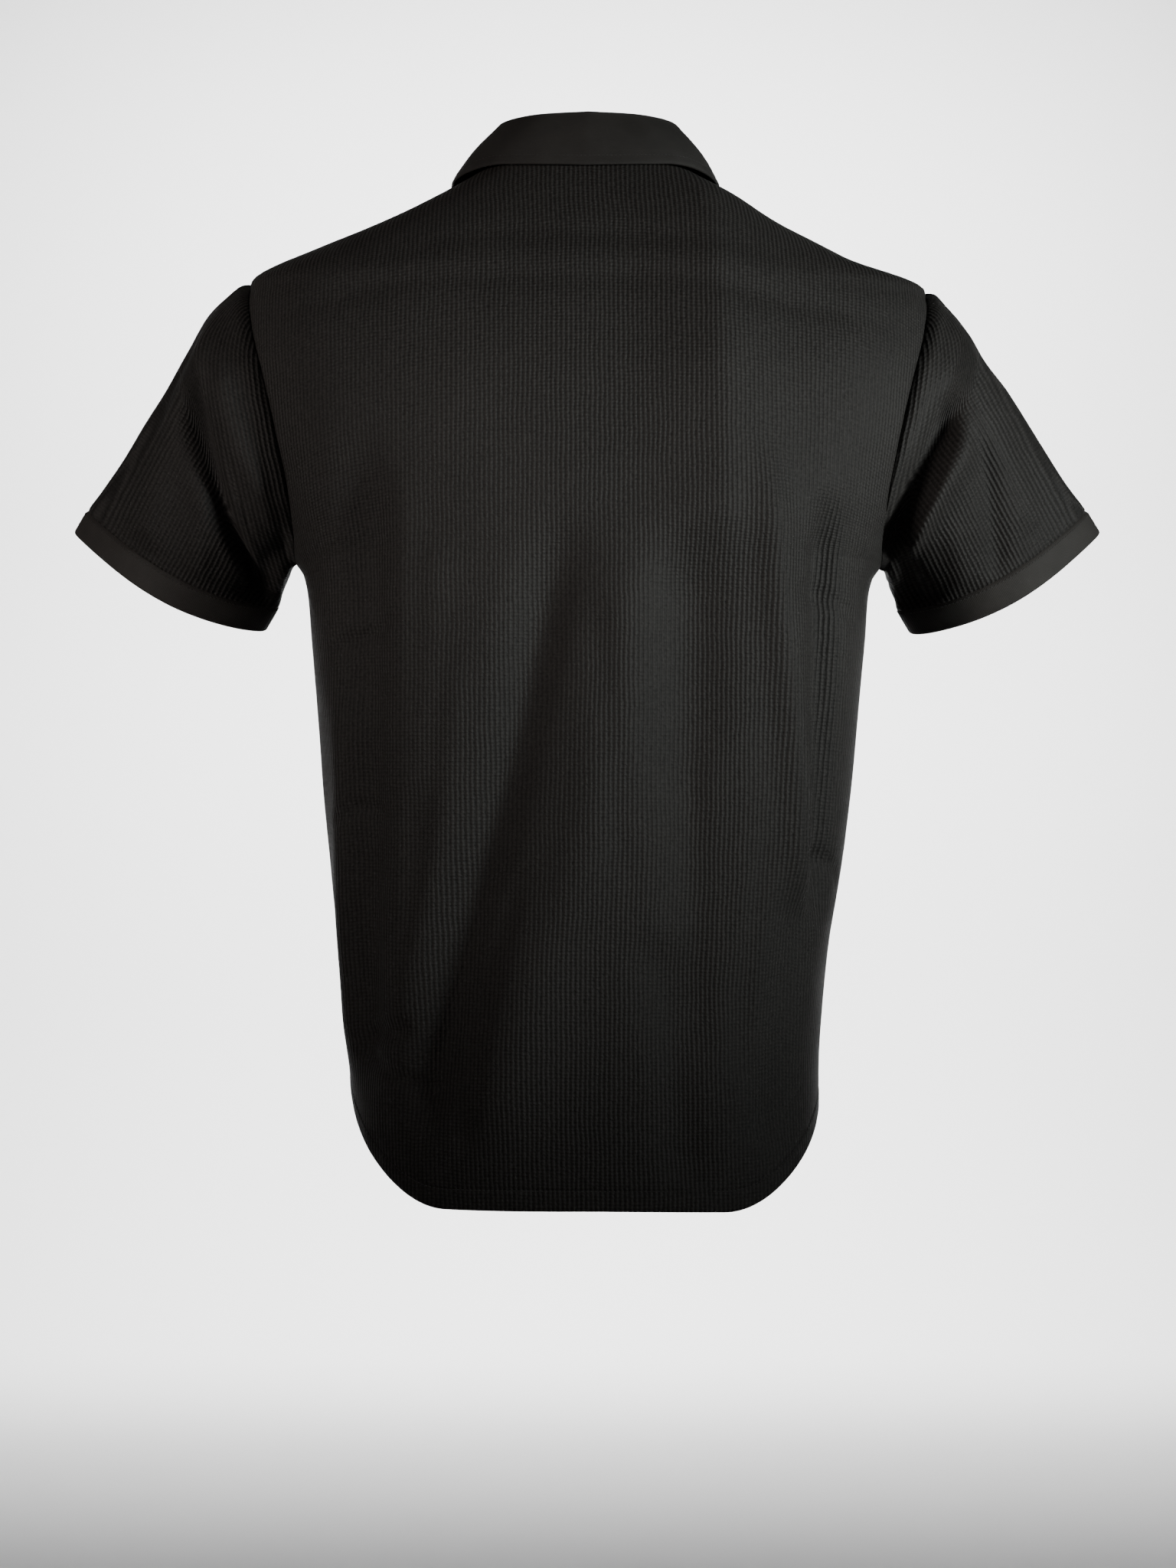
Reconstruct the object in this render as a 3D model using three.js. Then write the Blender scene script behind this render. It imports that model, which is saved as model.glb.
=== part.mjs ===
import * as THREE from 'three';

// Polo shirt in millimetres, +Z up, front towards -Y, the wearer's left towards +X.
// The origin is the middle of the neck opening, level with the tops of the shoulder seams.

const CLOTH_THICKNESS = 1.5;
const HEM_THICKNESS = 2.6;
const HEM_HEIGHT = 14;
const HEM_RATE_MIDDLE = 1.03;
const HEM_RATE_SIDE = 0.7;
const CUFF_THICKNESS = 2.3;
const CUFF_START = 196;
const CUFF_EDGE = 213.5;
const CUFF_PROUD = 0.4;
const RIGHT_SLEEVE_DROP = 2;
const COLLAR_THICKNESS = 1.7;
const COLLAR_FOLD_RADIUS = 0.8;
const SEAM_GAP = 0.3;
const SHOULDER_POINT_X = 228.5;
const NECK_HALF_WIDTH = 74;
const SLIT_HALF_WIDTH = 14;
const SLIT_FOOT = 474;
const STRIP_OVERLAP = 3;
const STRIP_FOOT = 462;
const STRIP_THICKNESS = 1.4;
const BACK_COLUMNS = 16;
const FRONT_COLUMNS = 12;
const BUTTON_DIAMETER = 11.4;
const BUTTON_THICKNESS = 2.4;
const BUTTON_REST = 0.2;
const BUTTON_HOLE_SPACING = 2.5;
const BUTTON_HOLE_RADIUS = 0.8;
const BUTTON_LEVELS = [660, 578, 508];

// Rings of the body from the hem to the neck, measured up the middle of the back by "at".
// side: the side seam, armhole edge or shoulder seam. back, front: the middle of each panel.
// edgeBack, edgeFront: how far each armhole edge stands from the ring's middle line.
// square: 2 is an ellipse, more is squarer. shift: sideways. drop: how much lower on the right.
// flare: how far only the side turns out to meet the sleeve under the arm.
const bodyRings = [
  { name: 'hem', at: 0, sideX: 158, sideZ: -614, backY: 127, backZ: -683.5, frontY: 121, frontZ: -666,
    edgeBack: 0.15, edgeFront: 0.15, square: 2.5, shift: 2, flare: 0, drop: 13 },
  { name: 'tail', at: 60, sideX: 160, sideZ: -576, backY: 129, backZ: -622, frontY: 124, frontZ: -612,
    edgeBack: 0.15, edgeFront: 0.15, square: 2.5, shift: 3.2, flare: 0, drop: 4 },
  { name: 'low', at: 140, sideX: 165.5, sideZ: -512, backY: 131, backZ: -542, frontY: 127, frontZ: -537,
    edgeBack: 0.15, edgeFront: 0.15, square: 2.5, shift: 2.8, flare: 0, drop: 1 },
  { name: 'waist', at: 230, sideX: 175, sideZ: -444, backY: 133, backZ: -452, frontY: 130, frontZ: -450,
    edgeBack: 0.15, edgeFront: 0.15, square: 2.5, shift: 1, flare: 0, drop: 0 },
  { name: 'chest', at: 370, sideX: 187, sideZ: -312, backY: 134, backZ: -312, frontY: 133, frontZ: -312,
    edgeBack: 0.15, edgeFront: 0.15, square: 2.5, shift: 0, flare: 0, drop: 1 },
  { name: 'gusset', at: 404, sideX: 189.5, sideZ: -281, backY: 134, backZ: -278, frontY: 133, frontZ: -279,
    edgeBack: 0.15, edgeFront: 0.15, square: 2.5, shift: 0, flare: 0.5, drop: 2 },
  { name: 'bend', at: 416, sideX: 192.8, sideZ: -266.5, backY: 133.7, backZ: -266, frontY: 132.8,
    frontZ: -268,
    edgeBack: 0.15, edgeFront: 0.15, square: 2.5, shift: 0, flare: 2, drop: 3 },
  { name: 'underarm', at: 424, sideX: 197.4, sideZ: -259.5, backY: 133.3, backZ: -258, frontY: 132.4,
    frontZ: -261, edgeBack: 0.15, edgeFront: 0.15, square: 2.5, shift: 0, flare: 5.4, drop: 3 },
  { name: 'scoop', at: 432, sideX: 197.4, sideZ: -256, backY: 133, backZ: -250, frontY: 132, frontZ: -254,
    edgeBack: 14, edgeFront: 14, square: 2.5, shift: 0, flare: 4.5, drop: 3 },
  { name: 'scoopTop', at: 444, sideX: 197.2, sideZ: -246, backY: 132.5, backZ: -238, frontY: 131,
    frontZ: -244, edgeBack: 30, edgeFront: 31, square: 2.5, shift: 0, flare: 2.6, drop: 3 },
  { name: 'blade', at: 474, sideX: 199.5, sideZ: -216, backY: 130.5, backZ: -208, frontY: 128, frontZ: -219,
    edgeBack: 51, edgeFront: 54, square: 2.5, shift: 0, flare: 0.6, drop: 2 },
  { name: 'armMiddle', at: 504, sideX: 206, sideZ: -181, backY: 127, backZ: -178, frontY: 123.5,
    frontZ: -193, edgeBack: 57, edgeFront: 60, square: 2.45, shift: 0, flare: 0, drop: 1 },
  { name: 'armHigh', at: 542, sideX: 217, sideZ: -134, backY: 120.5, backZ: -140, frontY: 115, frontZ: -161,
    edgeBack: 50, edgeFront: 52, square: 2.35, shift: 0, flare: 0, drop: 2 },
  { name: 'head', at: 574, sideX: 225.5, sideZ: -101, backY: 112, backZ: -108, frontY: 107.5, frontZ: -136,
    edgeBack: 33, edgeFront: 34, square: 2.25, shift: 0, flare: 0, drop: 4 },
  { name: 'headTop', at: 594, sideX: 228.6, sideZ: -80, backY: 106, backZ: -88, frontY: 101, frontZ: -121,
    edgeBack: 16, edgeFront: 16, square: 2.15, shift: 0, flare: 0, drop: 5 },
  { name: 'shoulderPoint', at: 610, sideX: SHOULDER_POINT_X, sideZ: -69, backY: 101, backZ: -72,
    frontY: 95.5, frontZ: -109, edgeBack: 0.15, edgeFront: 0.15, square: 2.1, shift: 0, flare: 0, drop: 6 },
  { name: 'shoulder', at: 636, sideX: 184, sideZ: -46, backY: 88, backZ: -42, frontY: 83, frontZ: -96,
    edgeBack: 0.15, edgeFront: 0.15, square: 2.05, shift: 0, flare: 0, drop: 14 },
  { name: 'yoke', at: 662, sideX: 130, sideZ: -26.5, backY: 73, backZ: -13, frontY: 73, frontZ: -83,
    edgeBack: 0.15, edgeFront: 0.15, square: 2, shift: 1.5, flare: 0, drop: 7.5 },
  { name: 'neck', at: 690, sideX: NECK_HALF_WIDTH, sideZ: 0.5, backY: 56, backZ: 14, frontY: 64,
    frontZ: -70,
    edgeBack: 0.15, edgeFront: 0.15, square: 2, shift: 1.5, flare: 0, drop: 2 },
];
const LEVEL_RATE = 1.655;
const FLARE_START = 0.72;
const UNDERARM = 424;
const SHOULDER_POINT = 610;
const NECK = 690;
const ARMHOLE = { middleZ: -163, halfHeight: 96, halfDepth: 58 };
const COLLAR_LOOP = { halfWidth: 69, halfDepth: 59 };

// How far from each edge the folds have died away.
const FADE = { armhole: 24, neck: 40, slit: 40, slitFoot: 60 };

// Body folds as soft troughs (depth under 0) and ridges. A fold that runs down lists heights z
// and how far round from the middle of the back it lies there, the wearer's left as plus.
// A fold that runs across lists the places round the body and its height z at each.
const bodyFolds = [
  { name: 'backTrough', runs: 'down', z: [-612, -500, -396, -270], round: [92, 73, 48, 20], width: 25,
    depth: -9 },
  { name: 'backRidge', runs: 'down', z: [-648, -540, -440, -250], round: [54, 24, -14, -44], width: 30,
    depth: 7 },
  { name: 'tailTrough', runs: 'down', z: [-668, -590, -510], round: [-68, -60, -48], width: 20, depth: -5 },
  { name: 'leftTrough', runs: 'down', z: [-560, -430, -300], round: [148, 140, 134], width: 18, depth: -7 },
  { name: 'leftRidge', runs: 'down', z: [-590, -480, -350], round: [186, 180, 170], width: 22, depth: 5 },
  { name: 'rightRidge', runs: 'down', z: [-470, -380, -235], round: [-166, -146, -130], width: 22,
    depth: 6 },
  { name: 'rightTrough', runs: 'down', z: [-470, -380, -270], round: [-196, -196, -200], width: 17,
    depth: -6 },
  { name: 'rightTail', runs: 'down', z: [-640, -560, -480], round: [-128, -136, -150], width: 20,
    depth: -4 },
  { name: 'hipCrease', runs: 'across', round: [118, 140, 168], z: [-568, -570, -576], width: 9, depth: -3 },
  { name: 'yokeCrease', runs: 'across', round: [-215, -130, -40, 90, 205], z: [-104, -94, -76, -76, -94],
    width: 12, depth: -2.2 },
  { name: 'frontLeft', runs: 'down', z: [-628, -500, -380, -250], round: [420, 408, 392, 372],
    width: 27, depth: -8 },
  { name: 'frontRight', runs: 'down', z: [-610, -480, -340, -240], round: [-432, -410, -396, -374],
    width: 25, depth: -7 },
  { name: 'frontMiddle', runs: 'down', z: [-640, -520, -400], round: [484, 476, 470], width: 26, depth: 6 },
  { name: 'frontSideLeft', runs: 'down', z: [-560, -430, -300], round: [330, 322, 316], width: 20,
    depth: 5 },
  { name: 'frontSideRight', runs: 'down', z: [-590, -460, -330], round: [-338, -326, -320], width: 20,
    depth: 5 },
];

// Rings of each sleeve from the armhole to the cuff, measured along the sleeve.
// top and low: the outer and the underarm side as seen from behind. middleY: the ring's middle.
// half: half of the ring's depth. lean: degrees that its back swings down along the sleeve.
// pinch: how much flatter the outer side is. lens: how much flatter both ends are.
// seam: how much of the armhole's shape is left.
// topDrop, topIn: how much lower and further in the right sleeve's outer side is.
const sleeveRings = [
  { along: 0, topX: 228.8, topZ: -68.6, lowX: 197.7, lowZ: -259.5, middleY: -1, half: 58, lean: 0,
    pinch: 0, lens: 0, seam: 1, topDrop: 6, topIn: 0 },
  { along: 8, topX: 235.2, topZ: -70, lowX: 200.2, lowZ: -261.3, middleY: -1, half: 59.5, lean: 1,
    pinch: 0, lens: 0, seam: 0.9, topDrop: 5.5, topIn: 0 },
  { along: 20, topX: 245.8, topZ: -78, lowX: 202.3, lowZ: -264, middleY: -2, half: 60, lean: 2,
    pinch: 0.02, lens: 0, seam: 0.7, topDrop: 6, topIn: 1.5 },
  { along: 40, topX: 260.5, topZ: -92.5, lowX: 203.8, lowZ: -267, middleY: -4, half: 59, lean: 4,
    pinch: 0.04, lens: 0.02, seam: 0.4, topDrop: 6, topIn: 4 },
  { along: 62, topX: 270.8, topZ: -110.5, lowX: 205, lowZ: -269.5, middleY: -7, half: 57, lean: 7,
    pinch: 0.08, lens: 0.05, seam: 0.15, topDrop: 5, topIn: 4 },
  { along: 95, topX: 287.7, topZ: -138.2, lowX: 206.5, lowZ: -272.5, middleY: -13, half: 53.5, lean: 10,
    pinch: 0.13, lens: 0.12, seam: 0, topDrop: 3, topIn: 1.5 },
  { along: 130, topX: 308.3, topZ: -169.3, lowX: 208, lowZ: -275.5, middleY: -20, half: 49.5, lean: 13,
    pinch: 0.18, lens: 0.22, seam: 0, topDrop: 1, topIn: 1.5 },
  { along: 165, topX: 329, topZ: -200, lowX: 210, lowZ: -280, middleY: -27, half: 46, lean: 16,
    pinch: 0.22, lens: 0.32, seam: 0, topDrop: 0, topIn: 1.5 },
  { along: 196, topX: 344.2, topZ: -219.6, lowX: 213, lowZ: -286.8, middleY: -33, half: 44.5, lean: 18,
    pinch: 0.26, lens: 0.4, seam: 0, topDrop: 0, topIn: 1.5 },
  { along: 213.5, topX: 353.8, topZ: -234.6, lowX: 222.3, lowZ: -302, middleY: -37, half: 45, lean: 19,
    pinch: 0.28, lens: 0.42, seam: 0, topDrop: 0, topIn: 1 },
];
// Sleeve folds by how far along and the turn in degrees: 0 the outer top, 90 the back, 180 underneath.
const sleeveFolds = [
  { name: 'leftWedge', side: 1, along: [26, 90, 170], turn: [58, 98, 120], width: 14, depth: -7 },
  { name: 'leftOuterRidge', side: 1, along: [40, 110, 185], turn: [34, 62, 84], width: 14, depth: 4 },
  { name: 'leftUnderRidge', side: 1, along: [50, 100, 150], turn: [136, 142, 150], width: 12, depth: 3 },
  { name: 'leftFront', side: 1, along: [40, 110, 180], turn: [300, 280, 262], width: 14, depth: -5 },
  { name: 'rightWedge', side: -1, along: [70, 120, 176], turn: [112, 124, 136], width: 14, depth: -7 },
  { name: 'rightOuterRidge', side: -1, along: [46, 100, 170], turn: [60, 76, 92], width: 14, depth: 4 },
  { name: 'rightFront', side: -1, along: [50, 120, 180], turn: [296, 276, 258], width: 14, depth: -5 },
];

// Stations round the collar from the middle front to the middle back. neckTurn and edgeTurn run
// from 0 at the middle front over 1 at the shoulder seam to 2 at the middle back.
// fold: the top edge, where the leaf turns over the stand. The leaf's lower edge lies at
// edgeTurn and edgeAt on the body, lifted off it. swell: how far the leaf bulges between the two.
const collarStations = [
  { turn: 0, neckTurn: 0.02, foldX: 3, foldY: -64, foldZ: -45, edgeTurn: 0.235, edgeAt: 588, lift: 2.2,
    swell: 1 },
  { turn: 0.2, neckTurn: 0.18, foldX: 14, foldY: -63, foldZ: -42, edgeTurn: 0.27, edgeAt: 614,
    lift: 2.4, swell: 1.5 },
  { turn: 0.5, neckTurn: 0.46, foldX: 38, foldY: -51, foldZ: -27, edgeTurn: 0.46, edgeAt: 653,
    lift: 2.8, swell: 2 },
  { turn: 0.8, neckTurn: 0.76, foldX: 57, foldY: -27, foldZ: 0, edgeTurn: 0.79, edgeAt: 677, lift: 3,
    swell: 2.5 },
  { turn: 1.05, neckTurn: 1.02, foldX: 64.5, foldY: 0, foldZ: 23.5, edgeTurn: 1.03, edgeAt: 682.5,
    lift: 3, swell: 2.5 },
  { turn: 1.35, neckTurn: 1.36, foldX: 57.5, foldY: 26, foldZ: 34, edgeTurn: 1.36, edgeAt: 678,
    lift: 3.2, swell: 2.2 },
  { turn: 1.7, neckTurn: 1.7, foldX: 32, foldY: 47, foldZ: 36.5, edgeTurn: 1.7, edgeAt: 674.5,
    lift: 3.8, swell: 2 },
  { turn: 2, neckTurn: 2, foldX: 0, foldY: 54, foldZ: 37, edgeTurn: 2, edgeAt: 673, lift: 4, swell: 2 },
];

const smooth = (value) => {
  const inside = Math.min(1, Math.max(0, value));
  return inside * inside * (3 - 2 * inside);
};

// A smooth curve through points that never swings past them.
function curveThrough(places, values) {
  const slopes = [];
  for (let i = 0; i + 1 < places.length; i += 1) {
    slopes.push((values[i + 1] - values[i]) / (places[i + 1] - places[i]));
  }
  const leans = values.map((value, i) => {
    if (i === 0) return slopes[0];
    if (i === values.length - 1) return slopes[i - 1];
    const before = slopes[i - 1];
    const after = slopes[i];
    return before * after <= 0 ? 0 : (2 * before * after) / (before + after);
  });
  return (place) => {
    let i = 0;
    while (i + 2 < places.length && place > places[i + 1]) i += 1;
    const span = places[i + 1] - places[i];
    const t = Math.min(1, Math.max(0, (place - places[i]) / span));
    const s = 1 - t;
    return values[i] * (1 + 2 * t) * s * s + leans[i] * span * t * s * s
      + values[i + 1] * t * t * (3 - 2 * t) - leans[i + 1] * span * t * t * s;
  };
}

// One smooth curve for each number column of a table.
function tableCurves(table, placeKey) {
  const places = table.map((row) => row[placeKey]);
  const keys = Object.keys(table[0]).filter((key) => typeof table[0][key] === 'number');
  const curveOf = (key) => curveThrough(places, table.map((row) => row[key]));
  const curves = Object.fromEntries(keys.map((key) => [key, curveOf(key)]));
  return (place) => Object.fromEntries(keys.map((key) => [key, curves[key](place)]));
}

const bodyRing = tableCurves(bodyRings, 'at');
const sleeveRing = tableCurves(sleeveRings, 'along');
const collarStation = tableCurves(collarStations, 'turn');

function foldCurve(places, values) {
  const forward = places[0] < places[places.length - 1];
  return curveThrough(forward ? places : [...places].reverse(), forward ? values : [...values].reverse());
}

const bodyFoldCurves = bodyFolds.map((fold) => {
  const down = fold.runs === 'down';
  const places = down ? fold.z : fold.round;
  const values = down ? fold.round : fold.z;
  const path = foldCurve(places, values);
  return { ...fold, down, path, start: Math.min(...places), end: Math.max(...places) };
});

// How far the cloth stands out of its plain form at a place on the body.
function bodyFoldHeight(round, z) {
  let height = 0;
  for (const fold of bodyFoldCurves) {
    const place = fold.down ? z : round;
    const across = (fold.down ? round : z) - fold.path(place);
    const fade = (fold.end - fold.start) * 0.22;
    const strength = smooth((place - fold.start) / fade + 0.4) * smooth((fold.end - place) / fade + 0.4);
    height += fold.depth * strength * Math.exp(-((across / fold.width) ** 2));
  }
  return height;
}

// A quarter of a body ring from the middle of the panel out to its edge, evenly spaced along the cloth.
const RING_STEPS = 96;
const quarterRings = new Map();
function quarterRing(half, at) {
  const key = `${half}${at.toFixed(3)}`;
  if (quarterRings.has(key)) return quarterRings.get(key);
  const ring = bodyRing(at);
  const depth = half === 'back' ? ring.backY : ring.frontY;
  const edge = half === 'back' ? ring.edgeBack : ring.edgeFront;
  const reach = (ring.sideX - ring.flare) / (1 - (edge / depth) ** ring.square) ** (1 / ring.square);
  const lastAngle = Math.acos((edge / depth) ** (ring.square / 2));
  const points = [];
  const lengths = [0];
  for (let i = 0; i <= RING_STEPS; i += 1) {
    const angle = lastAngle * (i / RING_STEPS);
    const x = reach * Math.sin(angle) ** (2 / ring.square);
    const y = depth * Math.max(0, Math.cos(angle)) ** (2 / ring.square);
    points.push([x, y]);
    if (i) lengths.push(lengths[i - 1] + Math.hypot(x - points[i - 1][0], y - points[i - 1][1]));
  }
  const quarter = { ring, points, lengths, length: lengths[RING_STEPS] };
  quarterRings.set(key, quarter);
  return quarter;
}

// How far up a ring has come at one share of it, from its side's level to its middle's level.
const levelShare = (share) => smooth(LEVEL_RATE * (1 - Math.abs(share)));

// Rows near the hem follow the edge, so that the turned-up hem has one height all round.
function hemRow(at, share) {
  const rate = HEM_RATE_SIDE + (HEM_RATE_MIDDLE - HEM_RATE_SIDE) * levelShare(share);
  const low = Math.min(at, HEM_HEIGHT + 4);
  return at + low * (1 / rate - 1) * (1 - smooth((at - HEM_HEIGHT - 4) / 110));
}

// A point of the plain body. share runs from 0 in the middle of the panel to 1 at its edge.
function plainBodyPoint(half, side, share, at) {
  const { ring, points, lengths, length } = quarterRing(half, at);
  const wanted = Math.abs(share) * length;
  let i = 0;
  while (i + 2 < lengths.length && wanted > lengths[i + 1]) i += 1;
  const t = (wanted - lengths[i]) / (lengths[i + 1] - lengths[i]);
  const x = points[i][0] + (points[i + 1][0] - points[i][0]) * t;
  const y = points[i][1] + (points[i + 1][1] - points[i][1]) * t;
  const turn = share < 0 ? -side : side;
  const middleZ = half === 'back' ? ring.backZ : ring.frontZ;
  const drop = turn < 0 ? ring.drop * share * share : 0;
  return new THREE.Vector3(
    turn * (x + ring.flare * smooth((Math.abs(share) - FLARE_START) / (1 - FLARE_START))) + ring.shift,
    half === 'back' ? y : -y,
    ring.sideZ + (middleZ - ring.sideZ) * levelShare(share) - drop,
  );
}

function plainBodyNormal(half, side, share, at) {
  const shareStep = 0.004;
  const atStep = 0.8;
  const shareHigh = Math.min(1, share + shareStep);
  const atLow = Math.max(0, at - atStep);
  const atHigh = Math.min(NECK, at + atStep);
  const round = plainBodyPoint(half, side, shareHigh, at)
    .sub(plainBodyPoint(half, side, shareHigh - 2 * shareStep, at));
  const up = plainBodyPoint(half, side, share, atHigh).sub(plainBodyPoint(half, side, share, atLow));
  const normal = round.cross(up);
  if (side * (half === 'back' ? 1 : -1) > 0) normal.negate();
  return normal.normalize();
}

// The outside of the cloth at a place on the body, with its folds, moved out by "lift".
function bodyPoint(half, side, share, at, lift = 0) {
  const point = plainBodyPoint(half, side, share, at);
  const backLength = quarterRing('back', at).length;
  const length = quarterRing(half, at).length;
  const round = half === 'back' ? share * length : backLength + (1 - share) * length;
  const inArmhole = at > UNDERARM - 10 && at < SHOULDER_POINT + 6;
  const edgeFade = inArmhole ? smooth(((1 - share) * length) / FADE.armhole) : 1;
  const neckFade = smooth((NECK - at) / FADE.neck);
  const besideSlit = half === 'front' && at > SLIT_FOOT - FADE.slitFoot;
  const slitFade = besideSlit ? smooth((share * length - SLIT_HALF_WIDTH + STRIP_OVERLAP) / FADE.slit) : 1;
  const height = bodyFoldHeight(side * round, point.z) * edgeFade * neckFade * slitFade;
  return point.addScaledVector(plainBodyNormal(half, side, share, at), height + lift);
}

// The direction square to the armhole seam that both pieces share there.
function armholeDirection(point) {
  const depth = point.y / ARMHOLE.halfDepth ** 2;
  const height = (point.z - ARMHOLE.middleZ) / ARMHOLE.halfHeight ** 2;
  return new THREE.Vector3(0, depth, height).normalize();
}

// The normal of a grid of points at one place, from its neighbours.
function gridNormal(grid, row, column, wraps) {
  const rows = grid.length;
  const columns = grid[0].length;
  const left = wraps ? (column + columns - 1) % columns : Math.max(0, column - 1);
  const right = wraps ? (column + 1) % columns : Math.min(columns - 1, column + 1);
  const across = grid[row][right].clone().sub(grid[row][left]);
  const along = grid[Math.min(rows - 1, row + 1)][column].clone().sub(grid[Math.max(0, row - 1)][column]);
  return across.cross(along).normalize();
}

// A closed wall between an outer and an inner grid of points. Cells that "open" names are left
// out, and every free border is closed between the two faces.
function wallGeometry(outer, inner, { wraps = false, open = () => false } = {}) {
  const rows = outer.length;
  const columns = outer[0].length;
  const positions = [...outer.flat(), ...inner.flat()].flatMap((point) => [point.x, point.y, point.z]);
  const index = [];
  const borders = new Map();
  const outerAt = (row, column) => row * columns + (column % columns);
  const innerOffset = rows * columns;
  const addBorder = (from, to) => {
    if (borders.has(`${to},${from}`)) borders.delete(`${to},${from}`);
    else borders.set(`${from},${to}`, [from, to]);
  };
  for (let row = 0; row + 1 < rows; row += 1) {
    for (let column = 0; column < (wraps ? columns : columns - 1); column += 1) {
      if (open(row, column)) continue;
      const a = outerAt(row, column);
      const b = outerAt(row, column + 1);
      const c = outerAt(row + 1, column + 1);
      const d = outerAt(row + 1, column);
      index.push(a, b, c, a, c, d);
      index.push(...[a, c, b, a, d, c].map((corner) => corner + innerOffset));
      addBorder(a, b);
      addBorder(b, c);
      addBorder(c, d);
      addBorder(d, a);
    }
  }
  for (const [from, to] of borders.values()) {
    index.push(from, from + innerOffset, to + innerOffset, from, to + innerOffset, to);
  }
  const geometry = new THREE.BufferGeometry();
  geometry.setAttribute('position', new THREE.Float32BufferAttribute(positions, 3));
  geometry.setIndex(index);
  return geometry;
}

const bodyLevels = [
  0, 7, 13.4, 14.4, 42, 72, 102, 132, 162, 192, 222, 252, 282, 312, 342, 368, 390, 404, 412, 419,
  424, 432, 444, 458, 474, 489, 504, 523, 542, 558, 574, 585, 594, 602, 610, 622, 636, 649, 662, 676, 690,
];
const armholeLevels = bodyLevels.filter((at) => at >= UNDERARM && at <= SHOULDER_POINT);
const bodyThickness = (at) => (at < HEM_HEIGHT ? HEM_THICKNESS : CLOTH_THICKNESS);

// The inner face of a body panel. Both pieces at a seam share one direction square to it.
function panelInner(outer, levels) {
  const lastColumn = outer[0].length - 1;
  return outer.map((row, i) => row.map((point, j) => {
    const at = levels[i];
    const normal = gridNormal(outer, i, j, false);
    const atSeam = j === 0 || j === lastColumn;
    if (atSeam && at >= UNDERARM && at <= SHOULDER_POINT) normal.copy(armholeDirection(point));
    else if (atSeam) normal.setY(0).normalize();
    return point.clone().addScaledVector(normal, -bodyThickness(at));
  }));
}

function backPanel() {
  const outer = bodyLevels.map((at) => {
    const row = [];
    for (let j = BACK_COLUMNS; j >= -BACK_COLUMNS; j -= 1) {
      const share = Math.abs(j) / BACK_COLUMNS;
      row.push(bodyPoint('back', j >= 0 ? 1 : -1, share, hemRow(at, share)));
    }
    return row;
  });
  return wallGeometry(outer, panelInner(outer, bodyLevels));
}

// A place on the front by its distance from the middle line, along the cloth.
const frontShare = (across, at) => Math.abs(across) / quarterRing('front', at).length;
function frontPoint(across, at, lift) {
  return bodyPoint('front', across >= 0 ? 1 : -1, frontShare(across, at), at, lift);
}

// The front panel has columns along both sides of the slit from the neck down to its foot.
function frontPanel() {
  const outer = bodyLevels.map((at) => {
    const row = [];
    const slitShare = frontShare(SLIT_HALF_WIDTH, at);
    for (let j = -FRONT_COLUMNS; j <= FRONT_COLUMNS; j += 1) {
      const outward = Math.max(0, (Math.abs(j) - 1) / (FRONT_COLUMNS - 1));
      const share = j === 0 ? 0 : slitShare + (1 - slitShare) * outward;
      row.push(bodyPoint('front', j >= 0 ? 1 : -1, share, hemRow(at, share)));
    }
    return row;
  });
  const open = (row, column) => bodyLevels[row] >= SLIT_FOOT
    && Math.abs(column + 0.5 - FRONT_COLUMNS) < 1;
  return wallGeometry(outer, panelInner(outer, bodyLevels), { open });
}

// A strip of the placket between two distances off the front panel's outer face.
function placketStrip(halfWidth, foot, innerLift, outerLift) {
  const levels = [foot, ...bodyLevels.filter((at) => at > foot)];
  const inside = Math.min(halfWidth, SLIT_HALF_WIDTH);
  const places = [...new Set([-halfWidth, -inside, 0, inside, halfWidth])];
  const outer = levels.map((at) => places.map((across) => frontPoint(across, at, outerLift)));
  const inner = levels.map((at) => places.map((across) => frontPoint(across, at, innerLift)));
  return wallGeometry(outer, inner);
}

// The armhole seam of one side as a loop: up the back, over the shoulder point and down the front.
function armholeLoop(side) {
  const loop = armholeLevels.map((at) => bodyPoint('back', side, 1, at));
  const front = armholeLevels.map((at) => bodyPoint('front', side, 1, at));
  loop[0].lerp(front[0], 0.5);
  loop[loop.length - 1].lerp(front[front.length - 1], 0.5);
  loop.push(...front.slice(1, -1).reverse());
  return side > 0 ? loop : loop.reverse();
}

function sleeveFoldHeight(side, along, turn) {
  let height = 0;
  for (const fold of sleeveFolds) {
    if (fold.side !== side) continue;
    const path = curveThrough(fold.along, fold.turn);
    const start = fold.along[0];
    const end = fold.along[fold.along.length - 1];
    const strength = smooth((along - start) / 30 + 0.3) * smooth((end - along) / 30 + 0.3);
    height += fold.depth * strength * Math.exp(-(((turn - path(along)) / fold.width) ** 2));
  }
  return height;
}

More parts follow.
